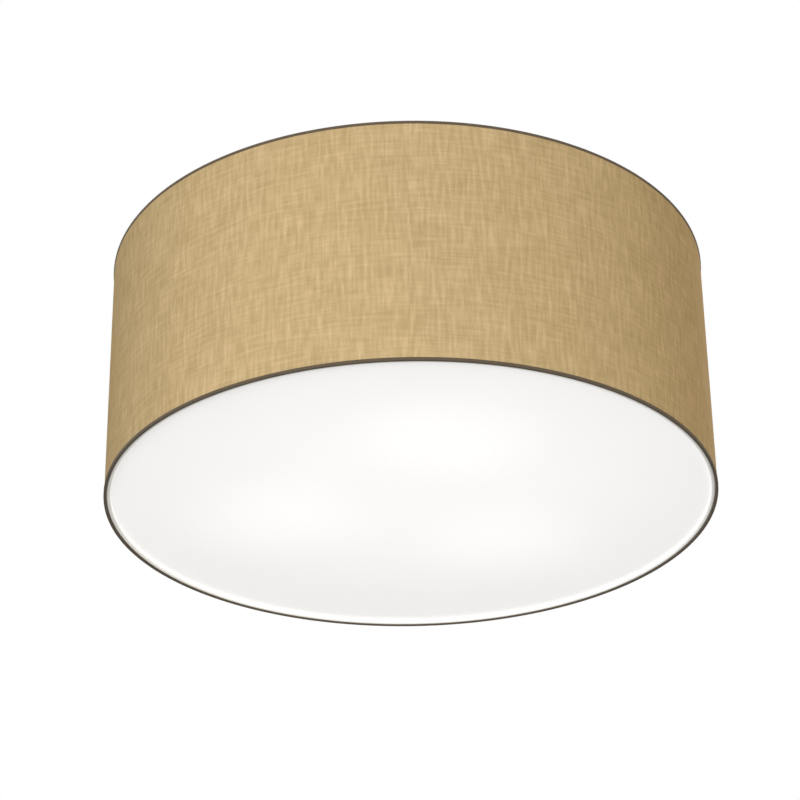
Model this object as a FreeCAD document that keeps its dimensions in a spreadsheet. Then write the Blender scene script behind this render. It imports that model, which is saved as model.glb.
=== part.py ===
"""Flush mount ceiling light: a fabric drum over three E27 lamps, closed below by an opal sheet.

Millimetres. The origin is the middle of the ceiling plane, +Z is up and the light hangs below it.
Pieces of the lamps are drawn with their lamp pointing along +X, then turned to its place.
"""
import FreeCAD, Part
import Sketcher
import math
import os

from FreeCAD import Placement, Rotation, Vector

SIZES = (
    # the drum and its wire rings
    ("drum_diameter", 500), ("drum_height", 210), ("ceiling_gap", 3),
    ("cloth", 0.6), ("liner", 1.0), ("seam_lap", 0.4), ("seam_width", 12),
    ("tape", 0.4), ("tape_leg", 2.0), ("tape_tuck", 2.4),
    ("ring_wire", 3), ("ring_inset", 2),
    ("opal_sheet", 2.4), ("opal_clearance", 0.8), ("opal_rest_gap", 0.2), ("opal_edge", 0.5),
    # the pan
    ("pan_diameter", 260), ("pan_depth", 25), ("pan_steel", 0.8), ("pan_corner", 7), ("pan_flange", 4),
    ("bead_inner", 66), ("bead_outer", 78), ("bead_slope", 2), ("bead_height", 1.6),
    ("cable_hole", 18), ("cable_bore", 14), ("grommet_flange", 23), ("grommet_lip", 1.8),
    # the ceiling strap
    ("strap_length", 224), ("strap_width", 20), ("strap_steel", 1.5), ("strap_step", 6),
    ("strap_flat", 74), ("strap_joggle", 7), ("strap_bend", 3), ("strap_corner", 6), ("strap_hole", 14),
    ("slot_spacing", 80), ("slot_length", 20), ("slot_width", 5),
    ("hang_spacing", 200), ("hang_end", 33),
    # M4 hardware
    ("bolt", 4), ("bolt_play", 0.2), ("nut_flats", 7), ("nut_height", 3.2), ("head_diameter", 8),
    ("head_height", 2.6), ("head_edge", 1.4), ("washer_diameter", 12), ("washer_thickness", 1),
    ("cap_hex", 3.6), ("cap_height", 8.4),
    # what carries the shade
    ("carrier_radius", 115), ("carrier_end", 36), ("carrier_foot", 7), ("carrier_foot_height", 1),
    ("knurl_diameter", 15), ("knurl_height", 7), ("knurl_neck", 10), ("knurl_neck_height", 1.6),
    ("arm_wire", 4), ("arm_height", 5.5), ("arm_low", 27.2), ("arm_inner", 149), ("arm_knee", 160),
    ("arm_shoulder", 222), ("arm_bend", 14), ("arm_weld", 0.25),
    ("tab_thickness", 1.8), ("tab_width", 13), ("tab_outer", 127),
    # the lampholders, with distances along each lamp measured from the light's axis
    ("lamp_height", 65), ("bracket_inner", 17.8), ("bracket_steel", 1.2), ("bracket_width", 24),
    ("bracket_end", 42), ("bracket_tail", 12), ("bracket_bend", 2), ("bracket_screw", 32),
    ("nipple_diameter", 10), ("nipple_bore", 7), ("nipple_inner", 12), ("nipple_outer", 27),
    ("nipple_flats", 14), ("nipple_nut", 3.6), ("nipple_play", 0.1),
    ("holder_back", 19), ("holder_mouth", 65), ("holder_boss", 13), ("holder_shoulder", 26),
    ("holder_dome", 11), ("holder_waist", 19), ("holder_radius", 20), ("holder_rim", 21.6),
    ("holder_rim_start", 60.5), ("holder_floor", 37), ("holder_bore", 14.2), ("mouth_bore", 15.6),
    ("mouth_depth", 4), ("shell_radius", 13.5), ("shell_wall", 0.5), ("shell_start", 38),
    ("shell_end", 60), ("shell_lip", 9), ("tongue_wire", 0.5), ("tongue_width", 5), ("tongue_tip", 39.7),
    # the bulbs
    ("contact_tip", 40), ("contact_radius", 4.5), ("contact_end", 41.1), ("insulator_small", 6),
    ("insulator_large", 11.5), ("insulator_end", 44.4), ("cap_start", 44.5), ("cap_radius", 13.2),
    ("cap_wall", 0.4), ("cap_end", 67), ("cap_rim", 1), ("spigot_start", 50), ("spigot_radius", 12.5),
    ("collar_radius", 14), ("collar_end", 70), ("housing_bow", 62), ("globe_joint", 102),
    ("globe_radius", 30), ("globe_wall", 1.2), ("globe_centre", 118),
    # the wiring
    ("lead", 3.6), ("lead_radius", 4), ("lead_start", 26.8), ("lead_run", 15),
    ("port_height", 14), ("port_spacing", 10), ("port_bore", 3.8),
    ("block_front", 45), ("block_depth", 17), ("block_width", 32),
    ("block_height", 16), ("tower", 8), ("tower_height", 3), ("tower_spacing", 8), ("pole_screw", 3.4),
    ("fixing_shank", 3), ("fixing_head", 5), ("fixing_height", 1.8),
    ("earth_wire", 2.4), ("earth_x", 41), ("earth_y", -77), ("lug_diameter", 9), ("lug_steel", 0.8),
    ("lug_barrel", 3.2), ("lug_lift", 0.1), ("lug_start", 31),
)

LAMP_ANGLES = (-75, 45, 165)
ARM_ANGLES = (-15, 105, 225)
FULL_TURN = 360
THROUGH = 600  # longer than any piece, for cuts that go right through
CROWN_RISE = "(head_height - head_edge)"
CROWN_RADIUS = f"((head_diameter * head_diameter / 4 + {CROWN_RISE} * {CROWN_RISE}) / (2 * {CROWN_RISE}))"

doc = FreeCAD.newDocument("ceiling_light")
sheet = doc.addObject("Spreadsheet::Sheet", "Sizes")
for row, (alias, number) in enumerate(SIZES, 1):
    sheet.set(f"A{row}", alias)
    sheet.set(f"B{row}", str(number))
    sheet.setAlias(f"B{row}", alias)
doc.recompute()

ALIASES = {alias for alias, number in SIZES}
pieces = []


# ---------------------------------------------------------------- sizes and sketches

def bind(text):
    """Put the sheet's name before each alias in an expression."""
    bound, word = "", ""
    for letter in str(text) + " ":
        if letter.isalnum() or letter == "_":
            word += letter
            continue
        bound += ("Sizes." + word if word in ALIASES else word) + letter
        word = ""
    return bound.strip()


def size(text):
    """The value of an expression of the sheet's aliases."""
    return float(sheet.evalExpression(bind(text)))


def new_body(label, at=("0", "0", "0"), turn=0):
    """A sub-part's body, moved to a place and turned about Z."""
    body = doc.addObject("PartDesign::Body", label)
    body.Label = label
    body.AllowCompound = True
    body.Placement = Placement(Vector(*[size(text) for text in at]), Rotation(Vector(0, 0, 1), turn))
    pieces.append(body)
    return body


def origin_item(body, role):
    return [item for item in body.Origin.OriginFeatures if item.Role == role][0]


def new_sketch(body, role, name, shift=("0", "0", "0")):
    """A sketch on one of the body's origin planes, shifted in the sketch's own axes."""
    sketch = body.newObject("Sketcher::SketchObject", name)
    sketch.AttachmentSupport = [(origin_item(body, role), "")]
    sketch.MapMode = "FlatFace"
    sketch.AttachmentOffset = Placement(Vector(*[size(text) for text in shift]), Rotation())
    for axis, text in zip("xyz", shift):
        if text != "0":
            sketch.setExpression(f"AttachmentOffset.Base.{axis}", bind(text))
    return sketch


def pin(sketch, geometry, point, x, y):
    """Tie a point of the sketch to two expressions of the sheet."""
    for kind, axis, text in (("DistanceX", -2, x), ("DistanceY", -1, y)):
        value = size(text)
        if abs(value) < 1e-9:
            sketch.addConstraint(Sketcher.Constraint("PointOnObject", geometry, point, axis))
            continue
        index = sketch.addConstraint(Sketcher.Constraint(kind, -1, 1, geometry, point, value))
        sketch.setExpression(f"Constraints[{index}]", bind(text))


def arc_between(start, end, radius):
    """A short arc; a positive radius bulges to the left of the way from start to end."""
    chord = end - start
    half = chord.Length / 2
    rise = abs(radius) - math.sqrt(max(radius * radius - half * half, 0))
    left = Vector(-chord.y, chord.x, 0).normalize()
    middle = (start + end) * 0.5 + left * math.copysign(rise, radius)
    return Part.Arc(end, middle, start) if radius > 0 else Part.Arc(start, middle, end)


def end_at(sketch, geometry, point):
    """Which end of a line or arc lies at the point."""
    return 1 if sketch.Geometry[geometry].StartPoint.distanceToPoint(point) < 1e-6 else 2


def outline(sketch, corners):
    """A closed outline: (x, y) is reached by a line, (x, y, radius) by an arc."""
    points = [Vector(size(corner[0]), size(corner[1]), 0) for corner in corners]
    first = sketch.GeometryCount
    ahead = [(i + 1) % len(corners) for i in range(len(corners))]
    for i, j in enumerate(ahead):
        if len(corners[j]) == 3:
            sketch.addGeometry(arc_between(points[i], points[j], size(corners[j][2])), False)
        else:
            sketch.addGeometry(Part.LineSegment(points[i], points[j]), False)
    for i, j in enumerate(ahead):
        here, there = first + i, first + j
        ends = (end_at(sketch, here, points[j]), end_at(sketch, there, points[j]))
        sketch.addConstraint(Sketcher.Constraint("Coincident", here, ends[0], there, ends[1]))
        pin(sketch, here, end_at(sketch, here, points[i]), corners[i][0], corners[i][1])
        if len(corners[j]) == 3:
            radius = abs(size(corners[j][2]))
            index = sketch.addConstraint(Sketcher.Constraint("Radius", here, radius))
            sketch.setExpression(f"Constraints[{index}]", f"abs({bind(corners[j][2])})")


def circle(sketch, x, y, diameter):
    round_hole = Part.Circle(Vector(size(x), size(y), 0), Vector(0, 0, 1), size(diameter) / 2)
    geometry = sketch.addGeometry(round_hole, False)
    pin(sketch, geometry, 3, x, y)
    index = sketch.addConstraint(Sketcher.Constraint("Diameter", geometry, size(diameter)))
    sketch.setExpression(f"Constraints[{index}]", bind(diameter))


def hexagon(sketch, x, y, flats):
    """A hexagon with corners to the left and right of its centre."""
    corner = f"({flats}) / sqrt(3)"
    turns = ((1, 0), (0.5, 1), (-0.5, 1), (-1, 0), (-0.5, -1), (0.5, -1))
    outline(sketch, [(f"{x} + {across} * {corner}", f"{y} + {up} * {flats} / 2") for across, up in turns])


def slot(sketch, left, right, width):
    """A round-ended slot along X, from one arc's centre to the other's."""
    radius = size(width) / 2
    for x, side in ((right, 1), (left, -1)):
        centre = Vector(size(x), 0, 0)
        up = Vector(0, radius * side, 0)
        arc = Part.Arc(centre - up, centre + Vector(radius * side, 0, 0), centre + up)
        geometry = sketch.addGeometry(arc, False)
        pin(sketch, geometry, 1, x, f"-{side} * {width} / 2")
        pin(sketch, geometry, 3, x, "0")
    low = sketch.addGeometry(Part.LineSegment(sketch.Geometry[geometry].EndPoint,
                                              sketch.Geometry[geometry - 1].StartPoint), False)
    high = sketch.addGeometry(Part.LineSegment(sketch.Geometry[geometry - 1].EndPoint,
                                               sketch.Geometry[geometry].StartPoint), False)
    for line, near, far in ((low, geometry, geometry - 1), (high, geometry - 1, geometry)):
        sketch.addConstraint(Sketcher.Constraint("Coincident", line, 1, near, 2))
        sketch.addConstraint(Sketcher.Constraint("Coincident", line, 2, far, 1))


# ---------------------------------------------------------------- features

def pad(body, sketch, length, down=False, both=False):
    feature = body.newObject("PartDesign::Pad", sketch.Name + "_pad")
    feature.Profile = sketch
    feature.Length = size(length)
    feature.setExpression("Length", bind(length))
    feature.Reversed = down
    if both:
        feature.SideType = "Symmetric"
    return feature


def cut_through(body, sketch):
    """Cut a sketch's shapes right through the body, both ways."""
    feature = body.newObject("PartDesign::Pocket", sketch.Name + "_cut")
    feature.Profile = sketch
    feature.Length = THROUGH
    feature.SideType = "Symmetric"
    return feature


def turned(body, corners, axis="V_Axis", shift=("0", "0", "0"), angle=FULL_TURN, name="profile"):
    """Turn an outline drawn in the XZ plane about the sketch's own axis."""
    sketch = new_sketch(body, "XZ_Plane", f"{body.Name}_{name}", shift)
    outline(sketch, corners)
    feature = body.newObject("PartDesign::Revolution", f"{body.Name}_{name}_turned")
    feature.Profile = sketch
    feature.ReferenceAxis = (sketch, [axis])
    feature.Angle = angle
    return feature


def around(body, features, count):
    """Repeat features about the light's axis."""
    pattern = body.newObject("PartDesign::PolarPattern", body.Name + "_pattern")
    pattern.Originals = features
    pattern.Axis = (origin_item(body, "Z_Axis"), [""])
    pattern.Angle = FULL_TURN
    pattern.Occurrences = count
    body.Tip = pattern
    return pattern


def rounded(body, base, radius, chosen):
    """Fillet those edges of a feature that the test accepts."""
    doc.recompute()
    names = [f"Edge{i}" for i, edge in enumerate(base.Shape.Edges, 1) if chosen(edge)]
    fillet = body.newObject("PartDesign::Fillet", f"{base.Name}_rounded")
    fillet.Base = (base, names)
    fillet.Radius = size(radius)
    fillet.setExpression("Radius", bind(radius))
    return fillet


def runs_along(edge, axis):
    """Whether a straight edge runs along X, Y or Z."""
    if len(edge.Vertexes) < 2 or not isinstance(edge.Curve, Part.Line):
        return False
    return abs(abs(getattr(edge.Curve.Direction, axis)) - 1) < 1e-6


# ---------------------------------------------------------------- strap, pan and their hardware

def make_strap():
    """Steel strap: its middle lies on the ceiling, and its ends step down to clear the plaster."""
    body = new_body("ceiling_strap")
    sketch = new_sketch(body, "XZ_Plane", "strap_side")
    end, toe, heel = "strap_length / 2", "(strap_flat + strap_joggle)", "strap_flat"
    upper = [(f"-{end}", "-strap_step"), (f"-{toe}", "-strap_step"), (f"-{heel}", "0"),
             (heel, "0"), (toe, "-strap_step"), (end, "-strap_step")]
    lower = [(x, f"{z} - strap_steel") for x, z in reversed(upper)]
    outline(sketch, upper + lower)
    strip = pad(body, sketch, "strap_width", both=True)
    far = size(heel) - 1
    tip = size(end) - 1
    bends = rounded(body, strip, "strap_bend",
                    lambda e: runs_along(e, "y") and far < abs(e.CenterOfMass.x) < tip)
    rounded(body, bends, "strap_corner", lambda e: runs_along(e, "z"))
    holes = new_sketch(body, "XY_Plane", "strap_holes")
    half = "(slot_length - slot_width) / 2"
    for side in (-1, 1):
        middle = f"{side} * slot_spacing / 2"
        slot(holes, f"{middle} - {half}", f"{middle} + {half}", "slot_width")
        circle(holes, f"{side} * hang_spacing / 2", "0", "bolt + bolt_play")
    circle(holes, "0", "0", "strap_hole")
    cut_through(body, holes)


def make_screws(label, radius, count, under_head, end, upward=False, turn=0):
    """A ring of pan-head screws; the shank runs down from under the head, or up."""
    sign = -1 if upward else 1
    body = new_body(label, turn=turn)
    crown = f"({under_head} + {sign} * head_height)"
    edge = f"({under_head} + {sign} * head_edge)"
    corners = [("0", end), ("bolt / 2", end), ("bolt / 2", under_head), ("head_diameter / 2", under_head),
               ("head_diameter / 2", edge), ("0", crown, f"-{sign} * {CROWN_RADIUS}")]
    around(body, [turned(body, corners, shift=(radius, "0", "0"))], count)


def make_nuts(label, radius, count, low, turn=0):
    """A ring of plain hexagon nuts, each standing on a height."""
    body = new_body(label, turn=turn)
    sketch = new_sketch(body, "XY_Plane", label + "_hexagon", ("0", "0", low))
    hexagon(sketch, radius, "0", "nut_flats")
    circle(sketch, radius, "0", "bolt + bolt_play")
    around(body, [pad(body, sketch, "nut_height")], count)


def make_washers():
    body = new_body("cap_washers")
    sketch = new_sketch(body, "XY_Plane", "washer_ring", ("0", "0", "-pan_depth"))
    circle(sketch, "hang_spacing / 2", "0", "washer_diameter")
    circle(sketch, "hang_spacing / 2", "0", "bolt + bolt_play")
    around(body, [pad(body, sketch, "washer_thickness", down=True)], 2)


def make_cap_nuts():
    """Domed nuts below the washers: a hexagon with a closed dome over the screw's end."""
    body = new_body("cap_nuts")
    top = "(-pan_depth - washer_thickness)"
    sketch = new_sketch(body, "XY_Plane", "cap_hexagon", ("0", "0", top))
    hexagon(sketch, "hang_spacing / 2", "0", "nut_flats")
    circle(sketch, "hang_spacing / 2", "0", "bolt + bolt_play")
    hexes = pad(body, sketch, "cap_hex", down=True)
    ledge, bore, dome = f"({top} - cap_hex)", "(bolt + bolt_play) / 2", "(nut_flats / 2 - 0.3)"
    flank = f"({top} - cap_height + {dome})"
    inside = "(-hang_end - 0.4)"
    corners = [("0", inside), ("0", f"{top} - cap_height"), (dome, flank, f"-{dome}"),
               (dome, f"{ledge} + 0.5"), (bore, f"{ledge} + 0.5"), (bore, inside)]
    domes = turned(body, corners, shift=("hang_spacing / 2", "0", "0"), name="dome")
    around(body, [hexes, domes], 2)


def make_pan():
    """Pressed steel pan: open to the ceiling, with a flange, a drawn corner and a stiffening bead."""
    body = new_body("base_pan")
    wall, face, inner = "pan_diameter / 2", "-pan_depth", "(pan_steel - pan_depth)"
    corners = [
        ("cable_hole / 2", face),
        ("bead_inner", face), ("bead_inner + bead_slope", f"{face} + bead_height"),
        ("bead_outer - bead_slope", f"{face} + bead_height"), ("bead_outer", face),
        (f"{wall} - pan_corner", face), (wall, f"{face} + pan_corner", "-pan_corner"),
        (wall, "-pan_steel"), (f"{wall} + pan_flange", "-pan_steel"), (f"{wall} + pan_flange", "0"),
        (f"{wall} - pan_steel", "0"), (f"{wall} - pan_steel", f"{face} + pan_corner"),
        (f"{wall} - pan_corner", inner, "(pan_corner - pan_steel)"),
        ("bead_outer", inner), ("bead_outer - bead_slope", f"{inner} + bead_height"),
        ("bead_inner + bead_slope", f"{inner} + bead_height"), ("bead_inner", inner),
        ("cable_hole / 2", inner),
    ]
    turned(body, corners)
    hang = new_sketch(body, "XY_Plane", "hang_holes")
    for side in (-1, 1):
        circle(hang, f"{side} * hang_spacing / 2", "0", "bolt + bolt_play * 2")
    circle(hang, "earth_x", "earth_y", "bolt + bolt_play")
    circle(hang, "port_spacing / 2", "-block_front - block_depth / 2", "fixing_shank + bolt_play")
    cut_through(body, hang)
    rings = (("carrier", "carrier_radius", ARM_ANGLES), ("bracket", "bracket_screw", LAMP_ANGLES))
    for name, radius, angles in rings:
        holes = new_sketch(body, "XY_Plane", name + "_holes")
        for angle in angles:
            circle(holes, f"{radius} * cos({angle})", f"{radius} * sin({angle})", "bolt + bolt_play")
        cut_through(body, holes)


def make_carriers():
    """Studs riveted into the pan, on which the shade's arms hang, and their knurled nuts."""
    studs = new_body("carrier_studs", turn=ARM_ANGLES[0])
    inner = "(pan_steel - pan_depth)"
    corners = [("0", "-carrier_end"), ("bolt / 2", "-carrier_end"), ("bolt / 2", inner),
               ("carrier_foot / 2", inner), ("carrier_foot / 2", f"{inner} + carrier_foot_height"),
               ("0", f"{inner} + carrier_foot_height")]
    around(studs, [turned(studs, corners, shift=("carrier_radius", "0", "0"))], 3)
    nuts = new_body("knurled_nuts", turn=ARM_ANGLES[0])
    top, bore = "(-pan_depth - tab_thickness)", "(bolt + bolt_play) / 2"
    low, rim, neck = f"({top} - knurl_height)", "knurl_diameter / 2", "knurl_neck / 2"
    corners = [(bore, low), (f"{rim} - 0.8", low), (rim, f"{low} + 0.8"),
               (rim, f"{top} - knurl_neck_height - 0.6"), (f"{rim} - 0.6", f"{top} - knurl_neck_height"),
               (neck, f"{top} - knurl_neck_height"), (neck, top), (bore, top)]
    around(nuts, [turned(nuts, corners, shift=("carrier_radius", "0", "0"))], 3)


# ---------------------------------------------------------------- the shade

def drum_heights():
    """The drum's top and bottom edge."""
    return "-ceiling_gap", "(-ceiling_gap - drum_height)"


def make_ring(label, height):
    ring = doc.addObject("Part::Torus", label)
    ring.Label = label
    radius = "drum_diameter / 2 - tape * 2 - cloth - liner - ring_wire / 2"
    ring.setExpression("Radius1", bind(radius))
    ring.setExpression("Radius2", bind("ring_wire / 2"))
    ring.Placement = Placement(Vector(0, 0, size(height)), Rotation())
    ring.setExpression("Placement.Base.z", bind(height))
    pieces.append(ring)


def make_arm(number, angle):
    """One wire of the spider: welded to the top ring, stepped down to the pan, its end flattened."""
    body = new_body(f"spider_arm_{number}", turn=angle)
    tab = new_sketch(body, "XY_Plane", f"tab_{number}", ("0", "0", "-pan_depth"))
    half = "tab_width / 2"
    outline(tab, [("carrier_radius", f"-{half}", f"-{half}"), ("tab_outer", f"-{half}"), ("tab_outer", half),
                  ("carrier_radius", half), (f"carrier_radius - {half}", "0", f"-{half}")])
    circle(tab, "carrier_radius", "0", "bolt + bolt_play * 2")
    pad(body, tab, "tab_thickness", down=True)
    flat_end = new_sketch(body, "YZ_Plane", f"flat_end_{number}", ("0", "0", "tab_outer"))
    face, under = "-pan_depth", "(-pan_depth - tab_thickness)"
    outline(flat_end, [(f"-{half}", under), (half, under), (half, face), (f"-{half}", face)])
    wire_end = new_sketch(body, "YZ_Plane", f"wire_end_{number}", ("0", "0", "arm_inner"))
    side, radius = "arm_wire / sqrt(8)", "-arm_wire / 2"
    low, high = f"-arm_low - {side}", f"-arm_low + {side}"
    outline(wire_end, [(f"-{side}", low, radius), (side, low, radius), (side, high, radius),
                       (f"-{side}", high, radius)])
    spread = body.newObject("PartDesign::AdditiveLoft", f"arm_spread_{number}")
    spread.Profile = flat_end
    spread.Sections = [wire_end]
    outer = "(drum_diameter / 2 - tape * 2 - cloth - liner - ring_wire + arm_weld)"
    line = new_sketch(body, "XZ_Plane", f"arm_line_{number}")
    stations = ((outer, "-arm_height"), ("arm_shoulder", "-arm_height"), ("arm_knee", "-arm_low"),
                ("arm_inner", "-arm_low"))
    points = [Vector(size(x), size(z), 0) for x, z in stations]
    for start, end in zip(points, points[1:]):
        line.addGeometry(Part.LineSegment(start, end), False)
    for i in (0, 1):
        line.addConstraint(Sketcher.Constraint("Coincident", i, 2, i + 1, 1))
    for i, (x, z) in enumerate(stations[:3]):
        pin(line, i, 1, x, z)
    pin(line, 2, 2, *stations[3])
    for i in (0, 1):
        line.fillet(i, i + 1, (points[i] + points[i + 1]) * 0.5, (points[i + 1] + points[i + 2]) * 0.5,
                    size("arm_bend"), True, True)
    section = new_sketch(body, "YZ_Plane", f"arm_section_{number}", ("0", "0", outer))
    circle(section, "0", "-arm_height", "arm_wire")
    wire = body.newObject("PartDesign::AdditivePipe", f"arm_wire_{number}")
    wire.Profile = section
    wire.Spine = (line, [])


def make_cloth():
    """The stiff liner, and the cloth laminated on it with a lapped seam at the back."""
    top, bottom = drum_heights()
    high, low = f"{top} - tape", f"{bottom} + tape"
    skin = "(drum_diameter / 2 - tape)"
    liner = new_body("shade_liner")
    inner, outer = f"{skin} - cloth - liner", f"{skin} - cloth"
    turned(liner, [(inner, low), (outer, low), (outer, high), (inner, high)])
    lap_turn = math.degrees(size("seam_width") / size(skin))
    cloth = new_body("shade_fabric", turn=90 - lap_turn / 2)
    turned(cloth, [(outer, low), (skin, low), (skin, high), (outer, high)])
    under, over = f"{skin} - cloth / 2", f"{skin} + seam_lap"
    below, above = f"{bottom} + tape_leg", f"{top} - tape_leg"
    turned(cloth, [(under, below), (over, below), (over, above), (under, above)], angle=lap_turn, name="lap")


def make_trim(label, edge, inward):
    """Folded tape: a leg on the cloth, a web over the edge and a leg tucked behind the wire ring."""
    body = new_body(label)
    rim, tuck = "drum_diameter / 2", "(drum_diameter / 2 - tape * 2 - cloth - liner)"
    web = f"{edge} + {inward} * tape"
    turned(body, [(tuck, edge), (rim, edge), (rim, f"{edge} + {inward} * tape_leg"),
                  (f"{rim} - tape", f"{edge} + {inward} * tape_leg"), (f"{rim} - tape", web),
                  (f"{tuck} + tape", web), (f"{tuck} + tape", f"{edge} + {inward} * tape_tuck"),
                  (tuck, f"{edge} + {inward} * tape_tuck")])


def make_diffuser():
    """Opal sheet with eased edges, lying loose on the bottom ring."""
    body = new_body("diffuser")
    bottom = drum_heights()[1]
    low = f"({bottom} + ring_inset + ring_wire / 2 + opal_rest_gap)"
    high = f"({low} + opal_sheet)"
    rim = "(drum_diameter / 2 - tape - cloth - liner - opal_clearance)"
    turned(body, [("0", low), (f"{rim} - opal_edge", low), (rim, f"{low} + opal_edge", "-opal_edge"),
                  (rim, f"{high} - opal_edge"), (f"{rim} - opal_edge", high, "-opal_edge"), ("0", high)])


# ---------------------------------------------------------------- lampholders and bulbs

def lamp_body(label, number):
    """A body whose local X axis is one lamp's axis."""
    return new_body(f"{label}_{number}", ("0", "0", "-lamp_height"), LAMP_ANGLES[number - 1])


def make_bracket(number):
    """Angle bracket: its foot is screwed under the pan, and its leg holds the lampholder."""
    body = new_body(f"lampholder_bracket_{number}", turn=LAMP_ANGLES[number - 1])
    side = new_sketch(body, "XZ_Plane", f"bracket_side_{number}")
    leg, under = "(bracket_inner + bracket_steel)", "(-pan_depth - bracket_steel)"
    low = "(-lamp_height - bracket_tail)"
    outline(side, [("bracket_inner", low), (leg, low), (leg, under), ("bracket_end", under),
                   ("bracket_end", "-pan_depth"), ("bracket_inner", "-pan_depth")])
    strip = pad(body, side, "bracket_width", both=True)
    top = size("-pan_depth")
    heel = rounded(body, strip, "bracket_bend",
                   lambda e: runs_along(e, "y") and e.CenterOfMass.x < size("bracket_inner") + 0.1
                   and e.CenterOfMass.z > top - 0.1)
    tail = rounded(body, heel, "bracket_width / 2 - 1",
                   lambda e: runs_along(e, "x") and e.CenterOfMass.z < size(low) + 0.1)
    rounded(body, tail, "bracket_width / 5",
            lambda e: runs_along(e, "z") and e.CenterOfMass.x > size("bracket_end") - 0.1)
    nipple_hole = new_sketch(body, "YZ_Plane", f"bracket_nipple_{number}")
    circle(nipple_hole, "0", "-lamp_height", "nipple_diameter + nipple_play * 2")
    cut_through(body, nipple_hole)
    screw_hole = new_sketch(body, "XY_Plane", f"bracket_screw_hole_{number}")
    circle(screw_hole, "bracket_screw", "0", "bolt + bolt_play")
    cut_through(body, screw_hole)


def make_nipples():
    """Hollow threaded nipples: the leads pass through them into the lampholders."""
    body = new_body("holder_nipples", ("0", "0", "-lamp_height"), LAMP_ANGLES[0])
    wall, bore = "nipple_diameter / 2", "nipple_bore / 2"
    tube = turned(body, [("nipple_inner", bore), ("nipple_outer", bore), ("nipple_outer", wall),
                         ("nipple_inner", wall)], axis="H_Axis")
    around(body, [tube], 3)
    nuts = new_body("nipple_nuts", ("0", "0", "-lamp_height"), LAMP_ANGLES[0])
    sketch = new_sketch(nuts, "YZ_Plane", "nipple_hexagon", ("0", "0", "bracket_inner - nipple_nut"))
    hexagon(sketch, "0", "0", "nipple_flats")
    circle(sketch, "0", "0", "nipple_diameter + nipple_play * 2")
    around(nuts, [pad(nuts, sketch, "nipple_nut")], 3)


def make_lampholder(number):
    """Moulded holder with a domed back, the screw shell inside it and the centre contact's tongue."""
    holder = lamp_body("lampholder", number)
    bore = "(nipple_diameter / 2 + nipple_play)"
    turned(holder, [
        ("holder_back", bore), ("nipple_outer", bore), ("nipple_outer", "0"), ("holder_floor", "0"),
        ("holder_floor", "holder_bore"), ("holder_mouth - mouth_depth", "holder_bore"),
        ("holder_mouth - mouth_depth", "mouth_bore"), ("holder_mouth", "mouth_bore"),
        ("holder_mouth", "holder_rim"), ("holder_rim_start", "holder_rim"),
        ("holder_rim_start - 2.5", "holder_radius"), ("holder_shoulder", "holder_waist"),
        ("holder_back", "holder_boss", "-holder_dome"),
    ], axis="H_Axis")
    shell = lamp_body("screw_shell", number)
    outer = "(shell_radius + shell_wall)"
    turned(shell, [
        ("shell_start", "shell_lip"), ("shell_start + shell_wall", "shell_lip"),
        ("shell_start + shell_wall", "shell_radius"), ("shell_end", "shell_radius"),
        ("shell_end", outer), ("shell_start", outer),
    ], axis="H_Axis")
    tongue = lamp_body("centre_contact", number)
    strip = new_sketch(tongue, "XZ_Plane", f"tongue_{number}")
    floor, tip = "holder_floor", "tongue_tip"
    outline(strip, [
        (floor, "7"), (floor, "-7.5"), (f"{floor} + 0.9", "-7.5"), (tip, "-1.5"), (tip, "2"),
        (f"{tip} - tongue_wire", "2"), (f"{tip} - tongue_wire", "-1.3"),
        (f"{floor} + tongue_wire", "-6.4"), (f"{floor} + tongue_wire", "7"),
    ])
    pad(tongue, strip, "tongue_width", both=True)


def make_bulb(number):
    """Opal bulb: contact, insulator, E27 cap, housing and a hollow globe."""
    contact = lamp_body("bulb_contact", number)
    turned(contact, [("contact_tip", "0"), ("contact_end", "0"), ("contact_end", "contact_radius"),
                     ("contact_tip + 0.5", "contact_radius"), ("contact_tip", "contact_radius - 1.5")],
           axis="H_Axis")
    insulator = lamp_body("bulb_insulator", number)
    turned(insulator, [("contact_end", "0"), ("insulator_end", "0"), ("insulator_end", "insulator_large"),
                       ("contact_end", "insulator_small")], axis="H_Axis")
    cap = lamp_body("bulb_cap", number)
    lining = "(cap_radius - cap_wall)"
    turned(cap, [
        ("cap_start", "insulator_large - 1"), ("cap_start + cap_wall", "insulator_large - 1"),
        ("cap_start + cap_rim", lining), ("cap_end", lining), ("cap_end", "cap_radius"),
        ("cap_start + cap_rim", "cap_radius"), ("cap_start", "insulator_large"),
    ], axis="H_Axis")
    housing = lamp_body("bulb_housing", number)
    reach = "(globe_centre - globe_joint)"
    joint = f"sqrt(globe_radius * globe_radius - {reach} * {reach})"
    turned(housing, [
        ("spigot_start", "0"), ("globe_joint", "0"), ("globe_joint", joint),
        ("collar_end", "collar_radius", "housing_bow"), ("cap_end", "collar_radius"),
        ("cap_end", "spigot_radius"), ("spigot_start", "spigot_radius"),
    ], axis="H_Axis")
    globe = lamp_body("bulb_globe", number)
    inner = "(globe_radius - globe_wall)"
    inner_joint = f"sqrt({inner} * {inner} - {reach} * {reach})"
    turned(globe, [
        ("globe_centre + globe_radius", "0"), ("globe_joint", joint, "-globe_radius"),
        ("globe_joint", inner_joint), (f"globe_centre + {inner}", "0", inner),
    ], axis="H_Axis")


# ---------------------------------------------------------------- wiring

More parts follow.
